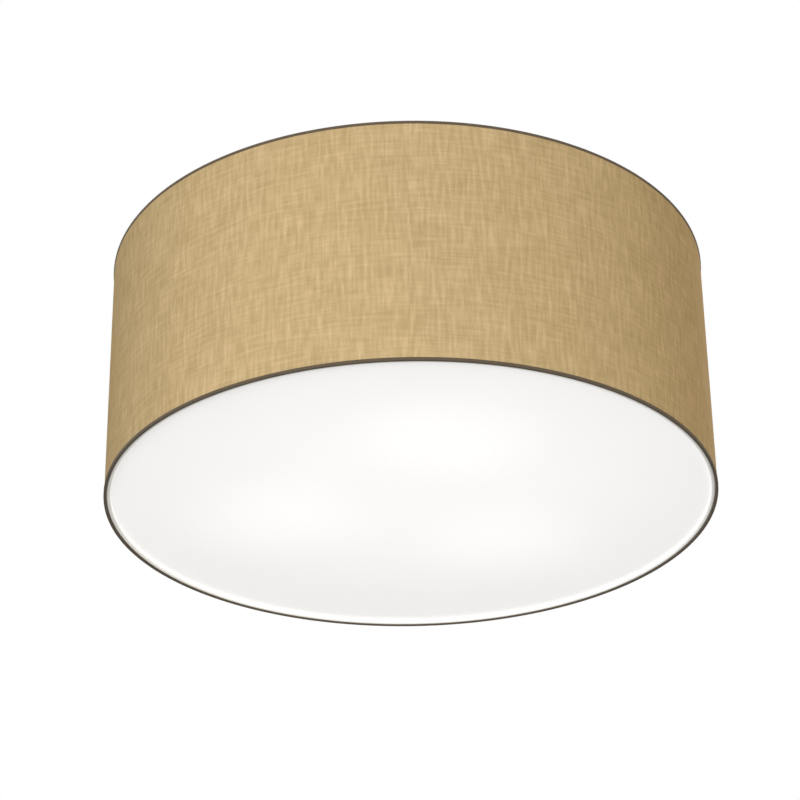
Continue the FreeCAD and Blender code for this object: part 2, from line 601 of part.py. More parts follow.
def make_grommet():
    body = new_body("cable_grommet")
    bore, flange, waist = "cable_bore / 2", "grommet_flange / 2", "(cable_hole / 2 - bolt_play / 2)"
    face, inner = "-pan_depth", "(pan_steel - pan_depth)"
    turned(body, [
        (bore, f"{face} - grommet_lip"), (f"{flange} - 1", f"{face} - grommet_lip"),
        (flange, f"{face} - grommet_lip + 1"), (flange, face), (waist, face), (waist, inner),
        (flange, inner), (flange, f"{inner} + grommet_lip - 1"), (f"{flange} - 1", f"{inner} + grommet_lip"),
        (bore, f"{inner} + grommet_lip"),
    ])


def block_screw_places():
    for pole in (-1, 0, 1):
        for row in (-1, 1):
            yield f"{pole} * port_spacing", f"{row} * tower_spacing / 2"


def make_terminal_block():
    """Three-pole block on the pan's floor: towers for its screws and a bore through each pole."""
    middle = "(-block_front - block_depth / 2)"
    floor, top = "(pan_steel - pan_depth)", "(pan_steel - pan_depth + block_height)"
    block = new_body("terminal_block", ("0", middle, "0"))
    base = new_sketch(block, "XY_Plane", "block_base", ("0", "0", floor))
    half, deep = "block_width / 2", "block_depth / 2"
    outline(base, [(f"-{half}", f"-{deep}"), (half, f"-{deep}"), (half, deep), (f"-{half}", deep)])
    pad(block, base, "block_height")
    towers = new_sketch(block, "XY_Plane", "block_towers", ("0", "0", top))
    for x, y in block_screw_places():
        circle(towers, x, y, "tower - 0.6")
    pad(block, towers, "tower_height")
    wells = new_sketch(block, "XY_Plane", "block_wells", ("0", "0", f"{top} + tower_height"))
    for x, y in block_screw_places():
        circle(wells, x, y, "pole_screw + bolt_play")
    sunk = block.newObject("PartDesign::Pocket", "block_wells_cut")
    sunk.Profile = wells
    sunk.Length = size("tower_height + 2")
    bores = new_sketch(block, "XZ_Plane", "block_ports")
    for pole in (-1, 0, 1):
        circle(bores, f"{pole} * port_spacing", "-port_height", "port_bore")
    cut_through(block, bores)
    fixing = new_sketch(block, "XY_Plane", "block_fixing")
    circle(fixing, "port_spacing / 2", "0", "fixing_shank + bolt_play")
    cut_through(block, fixing)
    screws = new_body("terminal_screws", ("0", middle, "0"))
    shanks = new_sketch(screws, "XY_Plane", "pole_screws", ("0", "0", f"{top} - 1.9"))
    for x, y in block_screw_places():
        circle(shanks, x, y, "pole_screw")
    pad(screws, shanks, "tower_height + 1")
    holder = new_body("block_fixing_screw", ("port_spacing / 2", middle, "0"))
    shank, head = "fixing_shank / 2", "fixing_head / 2"
    turned(holder, [("0", "-pan_depth - 2"), (shank, "-pan_depth - 2"), (shank, top), (head, top),
                    (head, f"{top} + fixing_height - 0.6"), (f"{head} - 0.6", f"{top} + fixing_height"),
                    ("0", f"{top} + fixing_height")])


def make_earth():
    """Earth screw through the pan, with the ring terminal of the earth lead under its head."""
    floor = "(pan_steel - pan_depth)"
    screw = new_body("earth_screw", ("earth_x", "earth_y", "0"))
    seat = f"({floor} + lug_steel)"
    turned(screw, [("0", "-pan_depth - 4"), ("bolt / 2", "-pan_depth - 4"), ("bolt / 2", seat),
                   ("head_diameter / 2", seat), ("head_diameter / 2", f"{seat} + head_edge"),
                   ("0", f"{seat} + head_height", f"-{CROWN_RADIUS}")])
    lug = new_body("earth_lug", ("earth_x", "earth_y", "0"))
    ring = new_sketch(lug, "XY_Plane", "lug_ring", ("0", "0", floor))
    slot(ring, "lug_start - earth_x + lug_diameter / 2 + lug_steel", "0", "lug_diameter")
    circle(ring, "0", "0", "bolt + bolt_play")
    pad(lug, ring, "lug_steel")
    barrel = new_sketch(lug, "YZ_Plane", "lug_barrel_round", ("0", "0", "lug_start - earth_x"))
    circle(barrel, "0", f"{floor} + lug_barrel / 2 + lug_lift", "lug_barrel")
    pad(lug, barrel, "lug_barrel")


def corner_arc(before, corner, after, radius):
    """The two tangent points and the middle of an arc that rounds a corner of a route."""
    back, ahead = (before - corner).normalize(), (after - corner).normalize()
    half_turn = (math.pi - back.getAngle(ahead)) / 2
    reach = radius * math.tan(half_turn)
    inward = (back + ahead).normalize()
    middle = corner + inward * (radius / math.cos(half_turn) - radius)
    return corner + back * reach, middle, corner + ahead * reach


def route_wire(points):
    """Straight runs joined by tangent arcs, each as large as its two runs allow."""
    edges, here = [], points[0]
    for before, corner, after in zip(points, points[1:], points[2:]):
        shorter = min(before.distanceToPoint(corner), corner.distanceToPoint(after))
        half_turn = (math.pi - (before - corner).getAngle(after - corner)) / 2
        radius = 0.45 * shorter / math.tan(half_turn)
        print(f"  bend radius {radius:.1f} mm, turn {math.degrees(2 * half_turn):.0f} degrees")
        start, middle, end = corner_arc(before, corner, after, radius)
        edges += [Part.LineSegment(here, start).toShape(), Part.Arc(start, middle, end).toShape()]
        here = end
    edges.append(Part.LineSegment(here, points[-1]).toShape())
    return Part.Wire(edges)


def make_tube(label, points, diameter):
    """A lead held at both ends, made whole along its route."""
    print(label)
    wire = route_wire(points)
    radius = size(diameter) / 2
    section = Part.Wire(Part.makeCircle(radius, points[0], points[1] - points[0]))
    piece = doc.addObject("Part::Feature", label)
    piece.Label = label
    piece.Shape = wire.makePipeShell([section], True, False)
    piece.Placement = Placement()
    full = math.pi * radius * radius * wire.Length
    print(f"  length {wire.Length:.1f} mm, volume {piece.Shape.Volume:.0f}, section times length {full:.0f}")
    pieces.append(piece)


def make_leads():
    """Each lamp's two-core lead: out of its nipple, up through the grommet and over to the block."""
    front = -size("block_front")
    port = -size("port_height")
    heights = (port, port + size("lead") + 0.4, port)
    poles = (0, 1, -1)
    for number, (angle, top, pole) in enumerate(zip(LAMP_ANGLES, heights, poles), 1):
        outward = Vector(math.cos(math.radians(angle)), math.sin(math.radians(angle)), 0)
        low, high = Vector(0, 0, -size("lamp_height")), Vector(0, 0, top)
        centre = outward * size("lead_radius")
        at_port = Vector(pole * size("port_spacing"), front, port)
        route = [outward * size("lead_start") + low, centre + low, centre + high,
                 Vector(at_port.x, front + size("lead_run"), (top + port) / 2), at_port]
        make_tube(f"lead_{number}", route, "lead")
    back = front - size("block_depth")
    y, barrel = size("earth_y"), size("pan_steel - pan_depth + lug_barrel / 2 + lug_lift")
    x = size("port_spacing")
    lug = size("lug_start")
    make_tube("earth_lead", [Vector(x, back, port), Vector(x, y, port), Vector(lug - 9, y, barrel),
                             Vector(lug, y, barrel)], "earth_wire")


# ---------------------------------------------------------------- build, check and write

make_strap()
make_screws("strap_screws", "hang_spacing / 2", 2, "-strap_step", "-hang_end")
make_nuts("strap_lock_nuts", "hang_spacing / 2", 2, "-strap_step - strap_steel - nut_height")
make_washers()
make_cap_nuts()
make_pan()
make_carriers()
top_edge, bottom_edge = drum_heights()
make_ring("top_ring", f"{top_edge} - ring_inset")
make_ring("bottom_ring", f"{bottom_edge} + ring_inset")
for number, angle in enumerate(ARM_ANGLES, 1):
    make_arm(number, angle)
make_cloth()
make_trim("trim_top", top_edge, -1)
make_trim("trim_bottom", bottom_edge, 1)
make_diffuser()
make_screws("bracket_screws", "bracket_screw", 3, "(-pan_depth - bracket_steel)",
            "(pan_steel - pan_depth + nut_height + 1.5)", upward=True, turn=LAMP_ANGLES[0])
make_nuts("bracket_nuts", "bracket_screw", 3, "(pan_steel - pan_depth)", turn=LAMP_ANGLES[0])
make_nipples()
for number in (1, 2, 3):
    make_bracket(number)
    make_lampholder(number)
    make_bulb(number)
make_grommet()
make_terminal_block()
make_earth()
make_leads()

doc.recompute()
faults = [item.Label for item in doc.Objects if {"Invalid", "Error"} & set(item.State)]
faults += [piece.Label for piece in pieces if piece.Shape.isNull() or not piece.Shape.isValid()]
if faults:
    raise RuntimeError("failed: " + ", ".join(faults))
os.makedirs("parts", exist_ok=True)
for piece in pieces:
    print(f"{piece.Label}: {len(piece.Shape.Solids)} solid(s), {piece.Shape.Volume:.0f} mm3")
    piece.Shape.exportStep(f"parts/{piece.Label}.step")
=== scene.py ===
"""Visual model of a flush mount ceiling light: a linen drum shade over three lamps and an opal diffuser."""

import math

import bpy
from mathutils import Matrix, Vector, noise


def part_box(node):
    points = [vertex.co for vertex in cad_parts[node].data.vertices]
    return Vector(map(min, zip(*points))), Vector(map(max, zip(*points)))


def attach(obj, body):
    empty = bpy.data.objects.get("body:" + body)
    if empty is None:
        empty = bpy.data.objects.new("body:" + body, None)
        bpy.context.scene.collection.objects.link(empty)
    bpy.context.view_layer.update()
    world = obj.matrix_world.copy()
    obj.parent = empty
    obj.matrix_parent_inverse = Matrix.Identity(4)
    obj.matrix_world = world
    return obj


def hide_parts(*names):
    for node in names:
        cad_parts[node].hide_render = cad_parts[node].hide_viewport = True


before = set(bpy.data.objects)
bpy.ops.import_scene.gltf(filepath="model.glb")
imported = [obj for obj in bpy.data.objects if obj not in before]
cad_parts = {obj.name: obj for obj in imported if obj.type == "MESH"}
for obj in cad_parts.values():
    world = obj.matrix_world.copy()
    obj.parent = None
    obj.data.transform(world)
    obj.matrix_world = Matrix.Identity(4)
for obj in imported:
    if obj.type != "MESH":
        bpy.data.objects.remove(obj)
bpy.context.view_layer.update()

bl_info = {
    "name": "Drum ceiling light",
    "version": (1, 0, 0),
    "blender": (4, 5, 0),
    "location": "3D Viewport > Sidebar > Ceiling light",
    "description": "Builds the shade, diffuser, lamps and fittings of a flush mount ceiling light",
    "category": "Add Mesh",
}

MM = 0.001
LAMPS = (1, 2, 3)
E27_PITCH = 3.63 * MM
E27_DEPTH = 0.45 * MM
WAVE_UNIT = 0.314  # scale at which a wave texture repeats once in each unit
M4_PITCH = 0.7 * MM
M4_BORE = 2.1 * MM
M4_SCREW = {"shank": 2 * MM, "head": 4 * MM, "edge": 1.4 * MM, "height": 2.6 * MM}
FOOT_SCREWS = {"radius": 32 * MM, "count": 3, "first": -75}
SHADE_STUDS = {"radius": 115 * MM, "count": 3, "first": -15}
LAP_WIDTH = 12 * MM
ZINC = (0.66, 0.67, 0.68)
NICKEL = (0.72, 0.70, 0.66)
SHADE_LOW, SHADE_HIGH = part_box("shade_fabric")
SHADE_RADIUS = -SHADE_LOW.x


# ---------------------------------------------------------------- sizes and colours that a user would change


class ShadeSettings(bpy.types.PropertyGroup):
    """Linen cover and its tape edges."""

    light_thread: bpy.props.FloatVectorProperty(
        name="Light thread", description="Colour of the palest yarn in the linen",
        default=(0.70, 0.52, 0.295), size=3, min=0, max=1, subtype="COLOR")
    dark_thread: bpy.props.FloatVectorProperty(
        name="Dark thread", description="Colour of the darkest yarn in the linen",
        default=(0.45, 0.325, 0.155), size=3, min=0, max=1, subtype="COLOR")
    tape_colour: bpy.props.FloatVectorProperty(
        name="Edge tape", description="Colour of the woven tape that binds both edges",
        default=(0.085, 0.064, 0.043), size=3, min=0, max=1, subtype="COLOR")
    yarn_pitch: bpy.props.FloatProperty(
        name="Yarn pitch", description="Distance between neighbouring yarns",
        default=0.9 * MM, min=0.3 * MM, max=3 * MM, unit="LENGTH")
    slub_relief: bpy.props.FloatProperty(
        name="Slub relief", description="How far a thick stretch of yarn stands out of the cloth",
        default=0.16 * MM, min=0, max=0.35 * MM, unit="LENGTH")
    columns: bpy.props.IntProperty(
        name="Columns", description="Faces of the cloth around the drum", default=640, min=64, max=720)
    rows: bpy.props.IntProperty(
        name="Rows", description="Faces of the cloth from edge to edge", default=128, min=8, max=140)


class LampSettings(bpy.types.PropertyGroup):
    """Light that the three bulbs give."""

    glow: bpy.props.FloatProperty(
        name="Bulb glow", description="Emission strength of the opal globes", default=1.1, min=0, max=20)
    sheet_glow: bpy.props.FloatProperty(
        name="Sheet glow", description="Light that leaves the diffuser's rim", default=0.465, min=0, max=1)
    middle_glow: bpy.props.FloatProperty(
        name="Middle glow", description="Light that the diffuser's middle adds to its rim's",
        default=0.08, min=0, max=1)
    spot_glow: bpy.props.FloatProperty(
        name="Spot glow", description="Light that is added below each bulb", default=0.05, min=0, max=1)
    spot_radius: bpy.props.FloatProperty(
        name="Spot radius", description="Distance over which a bulb's glow fades on the diffuser",
        default=105 * MM, min=10 * MM, max=200 * MM, unit="LENGTH")


class StageSettings(bpy.types.PropertyGroup):
    """Camera, lights and floor."""

    camera_place: bpy.props.FloatVectorProperty(
        name="Camera place", description="Where the camera stands, below and in front of the drum",
        default=(0.0, -1.8744, -1.1064), size=3, subtype="TRANSLATION", unit="LENGTH")
    camera_rise: bpy.props.FloatProperty(
        name="Camera rise", description="Angle of the view above the horizon",
        default=math.radians(27.904), subtype="ANGLE", unit="ROTATION")
    camera_roll: bpy.props.FloatProperty(
        name="Camera roll", description="Turn of the view about its own line of sight",
        default=math.radians(-0.931), subtype="ANGLE", unit="ROTATION")
    camera_lens: bpy.props.FloatProperty(
        name="Focal length", description="Focal length in millimetres on a sensor 36 mm wide",
        default=114.22, min=20, max=300)
    camera_shift: bpy.props.FloatProperty(
        name="Sideways shift", description="Share of the frame by which the view is shifted", default=-0.0118)
    key_power: bpy.props.FloatProperty(
        name="Key light", description="Power of the soft light beside the camera in watts",
        default=79.0, min=0, unit="POWER")
    fill_power: bpy.props.FloatProperty(
        name="Fill light", description="Power of the warm light on the drum's right side in watts",
        default=16.0, min=0, unit="POWER")
    back_power: bpy.props.FloatProperty(
        name="Back light", description="Power of the soft light behind the drum in watts",
        default=32.0, min=0, unit="POWER")
    sky: bpy.props.FloatVectorProperty(
        name="Room light", description="Colour and strength of the light from all round",
        default=(0.32, 0.31, 0.28), size=3, min=0, max=1, subtype="COLOR")
    floor_drop: bpy.props.FloatProperty(
        name="Floor drop", description="Height of the ceiling above the floor",
        default=4.2, min=1, max=10, unit="LENGTH")


# ---------------------------------------------------------------- modelling helpers


def deselect():
    """Leaves object mode's selection empty, because an operator acts on all that is selected."""
    if bpy.context.object and bpy.context.object.mode != "OBJECT":
        bpy.ops.object.mode_set(mode="OBJECT")
    bpy.ops.object.select_all(action="DESELECT")


def choose(piece):
    """Makes a piece the active object and the only one selected."""
    deselect()
    piece.select_set(True)
    bpy.context.view_layer.objects.active = piece


def start(name, primitive, **sizes):
    """Adds a primitive at its size and place, and keeps the place in its mesh."""
    deselect()
    primitive(**sizes)
    piece = bpy.context.object
    piece.name = name
    bpy.ops.object.transform_apply(location=True, rotation=True, scale=True)
    return piece


def pick(piece, kind, test):
    """Selects the vertices or edges that pass the test, and opens edit mode on them."""
    bpy.ops.object.mode_set(mode="EDIT")
    bpy.ops.mesh.select_mode(type=kind)
    bpy.ops.mesh.select_all(action="DESELECT")
    bpy.ops.object.mode_set(mode="OBJECT")
    for item in piece.data.vertices if kind == "VERT" else piece.data.edges:
        item.select = test(item)
    bpy.ops.object.mode_set(mode="EDIT")


def ends_of(mesh, edge):
    """The two points of an edge."""
    return tuple(mesh.vertices[i].co for i in edge.vertices)


def finish_mesh(piece, smooth_angle):
    """Merges doubles, turns the faces outward and shades smooth except over sharp edges."""
    bpy.ops.object.mode_set(mode="EDIT")
    bpy.ops.mesh.select_all(action="SELECT")
    bpy.ops.mesh.remove_doubles(threshold=0.002 * MM)
    bpy.ops.mesh.normals_make_consistent(inside=False)
    choose(piece)
    bpy.ops.object.shade_smooth_by_angle(angle=math.radians(smooth_angle))


def settle(piece, body, slot, material, *replaced):
    """Gives a finished piece its material and body, and hides the CAD nodes that it stands for; the slot
    argument is not used.
    """
    piece.data.materials.clear()
    piece.data.materials.append(material)
    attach(piece, body)
    if replaced:
        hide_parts(*replaced)


def paint(material, *nodes):
    """Gives CAD nodes whose shape stays a better material."""
    for name in nodes:
        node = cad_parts[name]
        node.data.materials.clear()
        node.data.materials.append(material)


# ---------------------------------------------------------------- material helpers


class Finish:
    """A procedural material: one Principled shader, and the nodes that feed it."""

    def __init__(self, name, constants):
        self.material = bpy.data.materials.new(name)
        self.material.use_nodes = True
        self.tree = self.material.node_tree
        self.shader = self.tree.nodes["Principled BSDF"]
        for socket, value in constants.items():
            self.shader.inputs[socket].default_value = value

    def add(self, kind, inputs, **settings):
        """A node with its settings, whose inputs are values or other nodes' outputs."""
        made = self.tree.nodes.new(kind)
        for key, value in settings.items():
            setattr(made, key, value)
        for socket, value in inputs.items():
            if isinstance(value, bpy.types.NodeSocket):
                self.tree.links.new(value, made.inputs[socket])
            else:
                made.inputs[socket].default_value = value
        return made

    def place(self):
        """Object coordinates, in metres."""
        return self.add("ShaderNodeTexCoord", {}).outputs["Object"]

    def cloth_place(self):
        """The piece's own UV map, in metres along and up the cloth."""
        return self.add("ShaderNodeUVMap", {}, uv_map="cloth").outputs["UV"]

    def stretched(self, place, x, y, z=1.0):
        """Coordinates divided by the grain's length along each axis."""
        mapping = self.add("ShaderNodeMapping", {"Vector": place, "Scale": (1 / x, 1 / y, 1 / z)})
        return mapping.outputs["Vector"]

    def grain(self, place, scale=1.0, detail=2.0, roughness=0.5):
        """Smooth noise from 0 to 1."""
        made = self.add("ShaderNodeTexNoise",
                        {"Vector": place, "Scale": scale, "Detail": detail, "Roughness": roughness})
        return made.outputs["Fac"]

    def maths(self, operation, a, b=0.0, clamp=False):
        """One arithmetic step."""
        return self.add("ShaderNodeMath", {0: a, 1: b}, operation=operation, use_clamp=clamp).outputs[0]

    def distance(self, place, spot):
        """How far a place is from a spot."""
        return self.add("ShaderNodeVectorMath", {0: place, 1: spot}, operation="DISTANCE").outputs["Value"]

    def weighed(self, *shares):
        """The sum of outputs, each times its weight."""
        total = 0.0
        for value, weight in shares:
            total = self.add("ShaderNodeMath", {0: value, 1: weight, 2: total},
                             operation="MULTIPLY_ADD").outputs[0]
        return total

    def swapped(self, factor, first, second):
        """The first value where the factor is 0, and the second where it is 1."""
        made = self.add("ShaderNodeMix", {}, data_type="FLOAT")
        for socket, value in zip(made.inputs[0:1] + made.inputs[2:4], (factor, first, second)):
            self.feed(socket, value)
        return made.outputs[0]

    def yarn_tone(self, thread, along, across_step, along_step, seed):
        """Tone of one set of yarns: the same across a yarn, and changing slowly along it."""
        across = self.maths("MULTIPLY", thread, across_step)
        length = self.maths("MULTIPLY", along, along_step)
        spot = self.add("ShaderNodeCombineXYZ", {"X": across, "Y": length, "Z": seed})
        return self.grain(spot.outputs[0], detail=3, roughness=0.55)

    def spread(self, value, low, high, to_low=0.0, to_high=1.0, smooth=False):
        """Maps low..high to to_low..to_high and holds the ends."""
        kind = "SMOOTHSTEP" if smooth else "LINEAR"
        inputs = {"Value": value, "From Min": low, "From Max": high, "To Min": to_low, "To Max": to_high}
        return self.add("ShaderNodeMapRange", inputs, interpolation_type=kind).outputs["Result"]

    def between(self, factor, first, second):
        """A colour between two colours."""
        made = self.add("ShaderNodeMix", {}, data_type="RGBA")
        self.feed(made.inputs[0], factor)
        self.feed(made.inputs[6], first)
        self.feed(made.inputs[7], second)
        return made.outputs[2]

    def feed(self, socket, value):
        """Links an output to a socket, or sets the socket's value."""
        if isinstance(value, bpy.types.NodeSocket):
            self.tree.links.new(value, socket)
        elif hasattr(value, "__len__") and len(value) == 3:
            socket.default_value = (*value, 1.0)
        else:
            socket.default_value = value

    def colour(self, value):
        self.feed(self.shader.inputs["Base Color"], value)

    def roughness(self, value):
        self.feed(self.shader.inputs["Roughness"], value)

    def bumps(self, height, depth):
        """Relief of the given depth in metres."""
        bump = self.add("ShaderNodeBump", {"Height": height, "Distance": depth, "Strength": 1.0})
        before = self.shader.inputs["Normal"]
        if before.is_linked:
            self.tree.links.new(before.links[0].from_socket, bump.inputs["Normal"])
        self.tree.links.new(bump.outputs["Normal"], before)


def lap_line(cloth, along, pitch):
    """Shadow along the two edges of the lapped seam at the back."""
    beyond_lap, shadow_inner, shadow_outer, darkness = 2.3 * MM, 0.3 * MM, 1.0 * MM, 0.5
    from_front = cloth.maths("ABSOLUTE", cloth.maths("MULTIPLY", along, pitch))
    from_cut = cloth.maths("SUBTRACT", math.pi * SHADE_RADIUS, from_front)
    from_line = cloth.maths("ABSOLUTE", cloth.maths("SUBTRACT", from_cut, LAP_WIDTH / 2 + beyond_lap))
    return cloth.spread(from_line, shadow_inner, shadow_outer, darkness, 0.0)


def linen(shade):
    """Slub linen: yarns that pass over and under each other, thick stretches, and a broad drift of tone."""
    cloth = Finish("slub linen", {"Specular IOR Level": 0.08, "Sheen Weight": 0.05, "Sheen Roughness": 0.5,
                                  "Sheen Tint": (0.9, 0.62, 0.25, 1.0)})
    place = cloth.cloth_place()
    pitch = shade.yarn_pitch
    axes = cloth.add("ShaderNodeSeparateXYZ", {"Vector": cloth.stretched(place, pitch, pitch)})
    along, up = axes.outputs["X"], axes.outputs["Y"]
    column, row = cloth.maths("FLOOR", along), cloth.maths("FLOOR", up)
    over = cloth.maths("PINGPONG", cloth.maths("ADD", column, row), 1.0)
    warp_size, weft_size = (2.2 * MM, 24 * MM), (2.0 * MM, 26 * MM)
    upright_size, level_size, patch_size = (3.0 * MM, 24 * MM), (30 * MM, 2.8 * MM), (48 * MM, 36 * MM)
    slub_from, slub_to = 0.42, 0.72
    crossing_contrast = 0.18
    warp = cloth.yarn_tone(column, up, *(pitch / size for size in warp_size), 0.0)
    weft = cloth.yarn_tone(row, along, *(pitch / size for size in weft_size), 40.0)
    upright_slub = cloth.spread(cloth.grain(cloth.stretched(place, *upright_size)), slub_from, slub_to)
    level_slub = cloth.spread(cloth.grain(cloth.stretched(place, *level_size)), slub_from, slub_to)
    patch = cloth.grain(cloth.stretched(place, *patch_size), detail=2)
    tone = cloth.weighed((warp, 0.36), (weft, 0.28), (upright_slub, 0.30), (level_slub, 0.16), (patch, 0.24))
    tone = cloth.spread(tone, 0.28, 0.98)
    top = cloth.swapped(over, weft, warp)
    crossing = cloth.maths("MULTIPLY", cloth.maths("SUBTRACT", top, 0.5), crossing_contrast)
    tone = cloth.maths("ADD", tone, crossing, clamp=True)
    tone = cloth.maths("SUBTRACT", tone, lap_line(cloth, along, pitch), clamp=True)
    cloth.colour(cloth.between(tone, shade.dark_thread, shade.light_thread))
    cloth.roughness(cloth.spread(tone, 0.0, 1.0, 0.95, 0.84))
    rounded = [cloth.maths("ABSOLUTE", cloth.maths("SINE", cloth.maths("MULTIPLY", axis, math.pi)))
               for axis in (up, along)]
    crown = cloth.swapped(over, *rounded)
    relief = cloth.weighed((crown, 0.6), (warp, 0.3), (weft, 0.25), (upright_slub, 0.4))
    cloth.bumps(relief, 0.16 * MM)
    return cloth.material


def edge_tape(shade):
    """Dull brown tape with fine ribs across it, their grooves painted darker and their crowns paler."""
    tape = Finish("brown tape", {"Specular IOR Level": 0.3, "Sheen Weight": 0.1, "Sheen Roughness": 0.5})
    place = tape.cloth_place()
    rib_pitch, worn_patch, pale_share = 0.8 * MM, (14 * MM, 1.2 * MM), 1.9
    rib = tape.add("ShaderNodeTexWave", {"Vector": tape.stretched(place, rib_pitch, 1.0), "Scale": WAVE_UNIT,
                                         "Distortion": 0.6, "Detail": 2.0}, wave_type="BANDS")
    wear = tape.grain(tape.stretched(place, *worn_patch), detail=4)
    dark = shade.tape_colour
    pale = tuple(c * pale_share for c in dark)
    # Painted shade: the rib wave darkens the grooves and pales the crowns in step with the ribs' relief; the
    # worn patches are real tone.
    rib_shade_and_wear = tape.maths("ADD", tape.maths("MULTIPLY", rib.outputs["Fac"], 0.35),
                          tape.spread(wear, 0.35, 0.75, 0.0, 0.5), clamp=True)
    tape.colour(tape.between(rib_shade_and_wear, dark, pale))
    tape.roughness(tape.spread(wear, 0.3, 0.7, 0.72, 0.9))
    tape.bumps(rib.outputs["Fac"], 0.12 * MM)
    return tape.material


def opal_sheet(lamps, spots, rim):
    """Opal acrylic, lit from behind: brightest below each bulb, and fading from the middle to the rim."""
    opal = Finish("opal acrylic", {"Roughness": 0.32, "Specular IOR Level": 0.5, "Emission Strength": 1.0})
    place = opal.place()
    near = 0.0
    for spot in spots:
        away = opal.distance(place, spot)
        spot_glow = opal.spread(away, lamps.spot_radius, 0.1 * lamps.spot_radius, smooth=True)
        near = opal.maths("MAXIMUM", near, spot_glow)
    brightest = (0, -0.1 * rim, spots[0][2])
    middle = opal.spread(opal.distance(place, brightest), rim, 0.25 * rim, smooth=True)
    cloud = opal.grain(place, scale=18.0, detail=3)
    cloudiness, blue_share = 0.008, 1.02
    glow = opal.weighed((middle, lamps.middle_glow), (near, lamps.spot_glow), (cloud, cloudiness))
    glow = opal.maths("ADD", glow, lamps.sheet_glow)
    cool = opal.maths("MULTIPLY", glow, blue_share)
    light = opal.add("ShaderNodeCombineColor", {"Red": glow, "Green": glow, "Blue": cool})
    opal.feed(opal.shader.inputs["Emission Color"], light.outputs[0])
    opal.colour(opal.between(cloud, (0.79, 0.79, 0.79), (0.82, 0.82, 0.82)))
    opal.bumps(opal.grain(place, scale=220.0, detail=2), 0.02 * MM)
    return opal.material


def coated(name, colour, roughness=0.38, peel=0.03 * MM, grain=420.0, glow=0.0):
    """Sprayed or powder coated metal with a fine orange peel; a glow above nought paints an even light of its
    own colour onto it.
    """
    coat = Finish(name, {"Specular IOR Level": 0.5, "Coat Weight": 0.15, "Coat Roughness": 0.2,
                         "Emission Color": (*colour, 1.0), "Emission Strength": glow})
    place = coat.place()
    drift = coat.grain(place, scale=24.0, detail=4)
    worn = tuple(c * 0.86 for c in colour)
    coat.colour(coat.between(coat.spread(drift, 0.2, 0.8, smooth=True), worn, colour))
    coat.roughness(coat.spread(drift, 0.2, 0.8, roughness + 0.1, roughness - 0.06, smooth=True))
    coat.bumps(coat.grain(place, scale=grain, detail=2), peel)
    return coat.material


def plated(name, colour, roughness=0.28, grain=900.0):
    """Plated metal: small bright flow marks and duller handled spots."""
    metal = Finish(name, {"Metallic": 1.0, "Specular IOR Level": 0.5})
    place = metal.place()
    drift = metal.grain(place, scale=90.0, detail=5)
    dull = tuple(c * 0.72 for c in colour)
    metal.colour(metal.between(metal.spread(drift, 0.35, 0.7), dull, colour))
    metal.roughness(metal.spread(drift, 0.3, 0.7, roughness + 0.16, roughness))
    metal.bumps(metal.grain(place, scale=grain, detail=3), 0.01 * MM)
    return metal.material


def moulded(name, colour, roughness=0.35, glow=0.0, specks=0.04):
    """Moulded plastic, glass or ceramic with faint mottling."""
    body = Finish(name, {"Specular IOR Level": 0.5, "Emission Strength": glow})
    place = body.place()
    mottle = body.grain(place, scale=60.0, detail=4)
    dark = tuple(c * (1.0 - specks) for c in colour)
    body.colour(body.between(mottle, dark, colour))
    body.roughness(body.spread(mottle, 0.3, 0.7, roughness + 0.06, roughness - 0.04))
    body.feed(body.shader.inputs["Emission Color"], colour)
    body.bumps(body.grain(place, scale=700.0, detail=2), 0.01 * MM)
    return body.material


def sleeved(name, colour, braid=1.6 * MM):
    """Soft sleeving with a faint braid."""
    sleeve = Finish(name, {"Specular IOR Level": 0.35, "Sheen Weight": 0.1, "Sheen Roughness": 0.5})
    place = sleeve.place()
    slant = sleeve.add("ShaderNodeTexWave", {"Vector": sleeve.stretched(place, braid, braid, braid),
                                             "Scale": WAVE_UNIT, "Distortion": 0.4}, wave_type="BANDS",
                       bands_direction="DIAGONAL")
    soil = sleeve.grain(place, scale=140.0, detail=4)
    dark = tuple(c * 0.8 for c in colour)
    sleeve.colour(sleeve.between(soil, dark, colour))
    sleeve.roughness(sleeve.spread(soil, 0.3, 0.7, 0.62, 0.5))
    sleeve.bumps(slant.outputs["Fac"], 0.05 * MM)
    return sleeve.material


# ---------------------------------------------------------------- turned pieces and fasteners


def turned(name, section, steps=48):
    """A round wall about Z: a circle, extruded and scaled through its section's (radius, height) points."""
    (radius, height), *rest = section
    piece = start(name, bpy.ops.mesh.primitive_circle_add, vertices=steps, radius=radius,
                  location=(0, 0, height))
    bpy.ops.object.mode_set(mode="EDIT")
    bpy.ops.mesh.select_all(action="SELECT")
    for wider, higher in rest:
        bpy.ops.mesh.extrude_edges_move()
        bpy.ops.transform.resize(value=(wider / radius, wider / radius, 1), center_override=(0, 0, 0))
        bpy.ops.transform.translate(value=(0, 0, higher - height))
        radius, height = wider, higher
    bpy.ops.object.mode_set(mode="OBJECT")
    return piece


def capped(piece):
    """Fills the open ends of a round wall."""
    choose(piece)
    bpy.ops.object.mode_set(mode="EDIT")
    bpy.ops.mesh.select_all(action="SELECT")
    bpy.ops.mesh.fill_holes(sides=0)
    bpy.ops.object.mode_set(mode="OBJECT")


def step_round(point, steps):
    """Which of a round wall's columns a point is in."""
    return round(math.atan2(point.y, point.x) / (2 * math.pi) * steps)


def rows(radius, low, high, gap):
    """Section points up a straight wall, about a gap apart."""
    count = max(1, round(abs(high - low) / gap))
    return [(radius, low + (high - low) * i / count) for i in range(count + 1)]


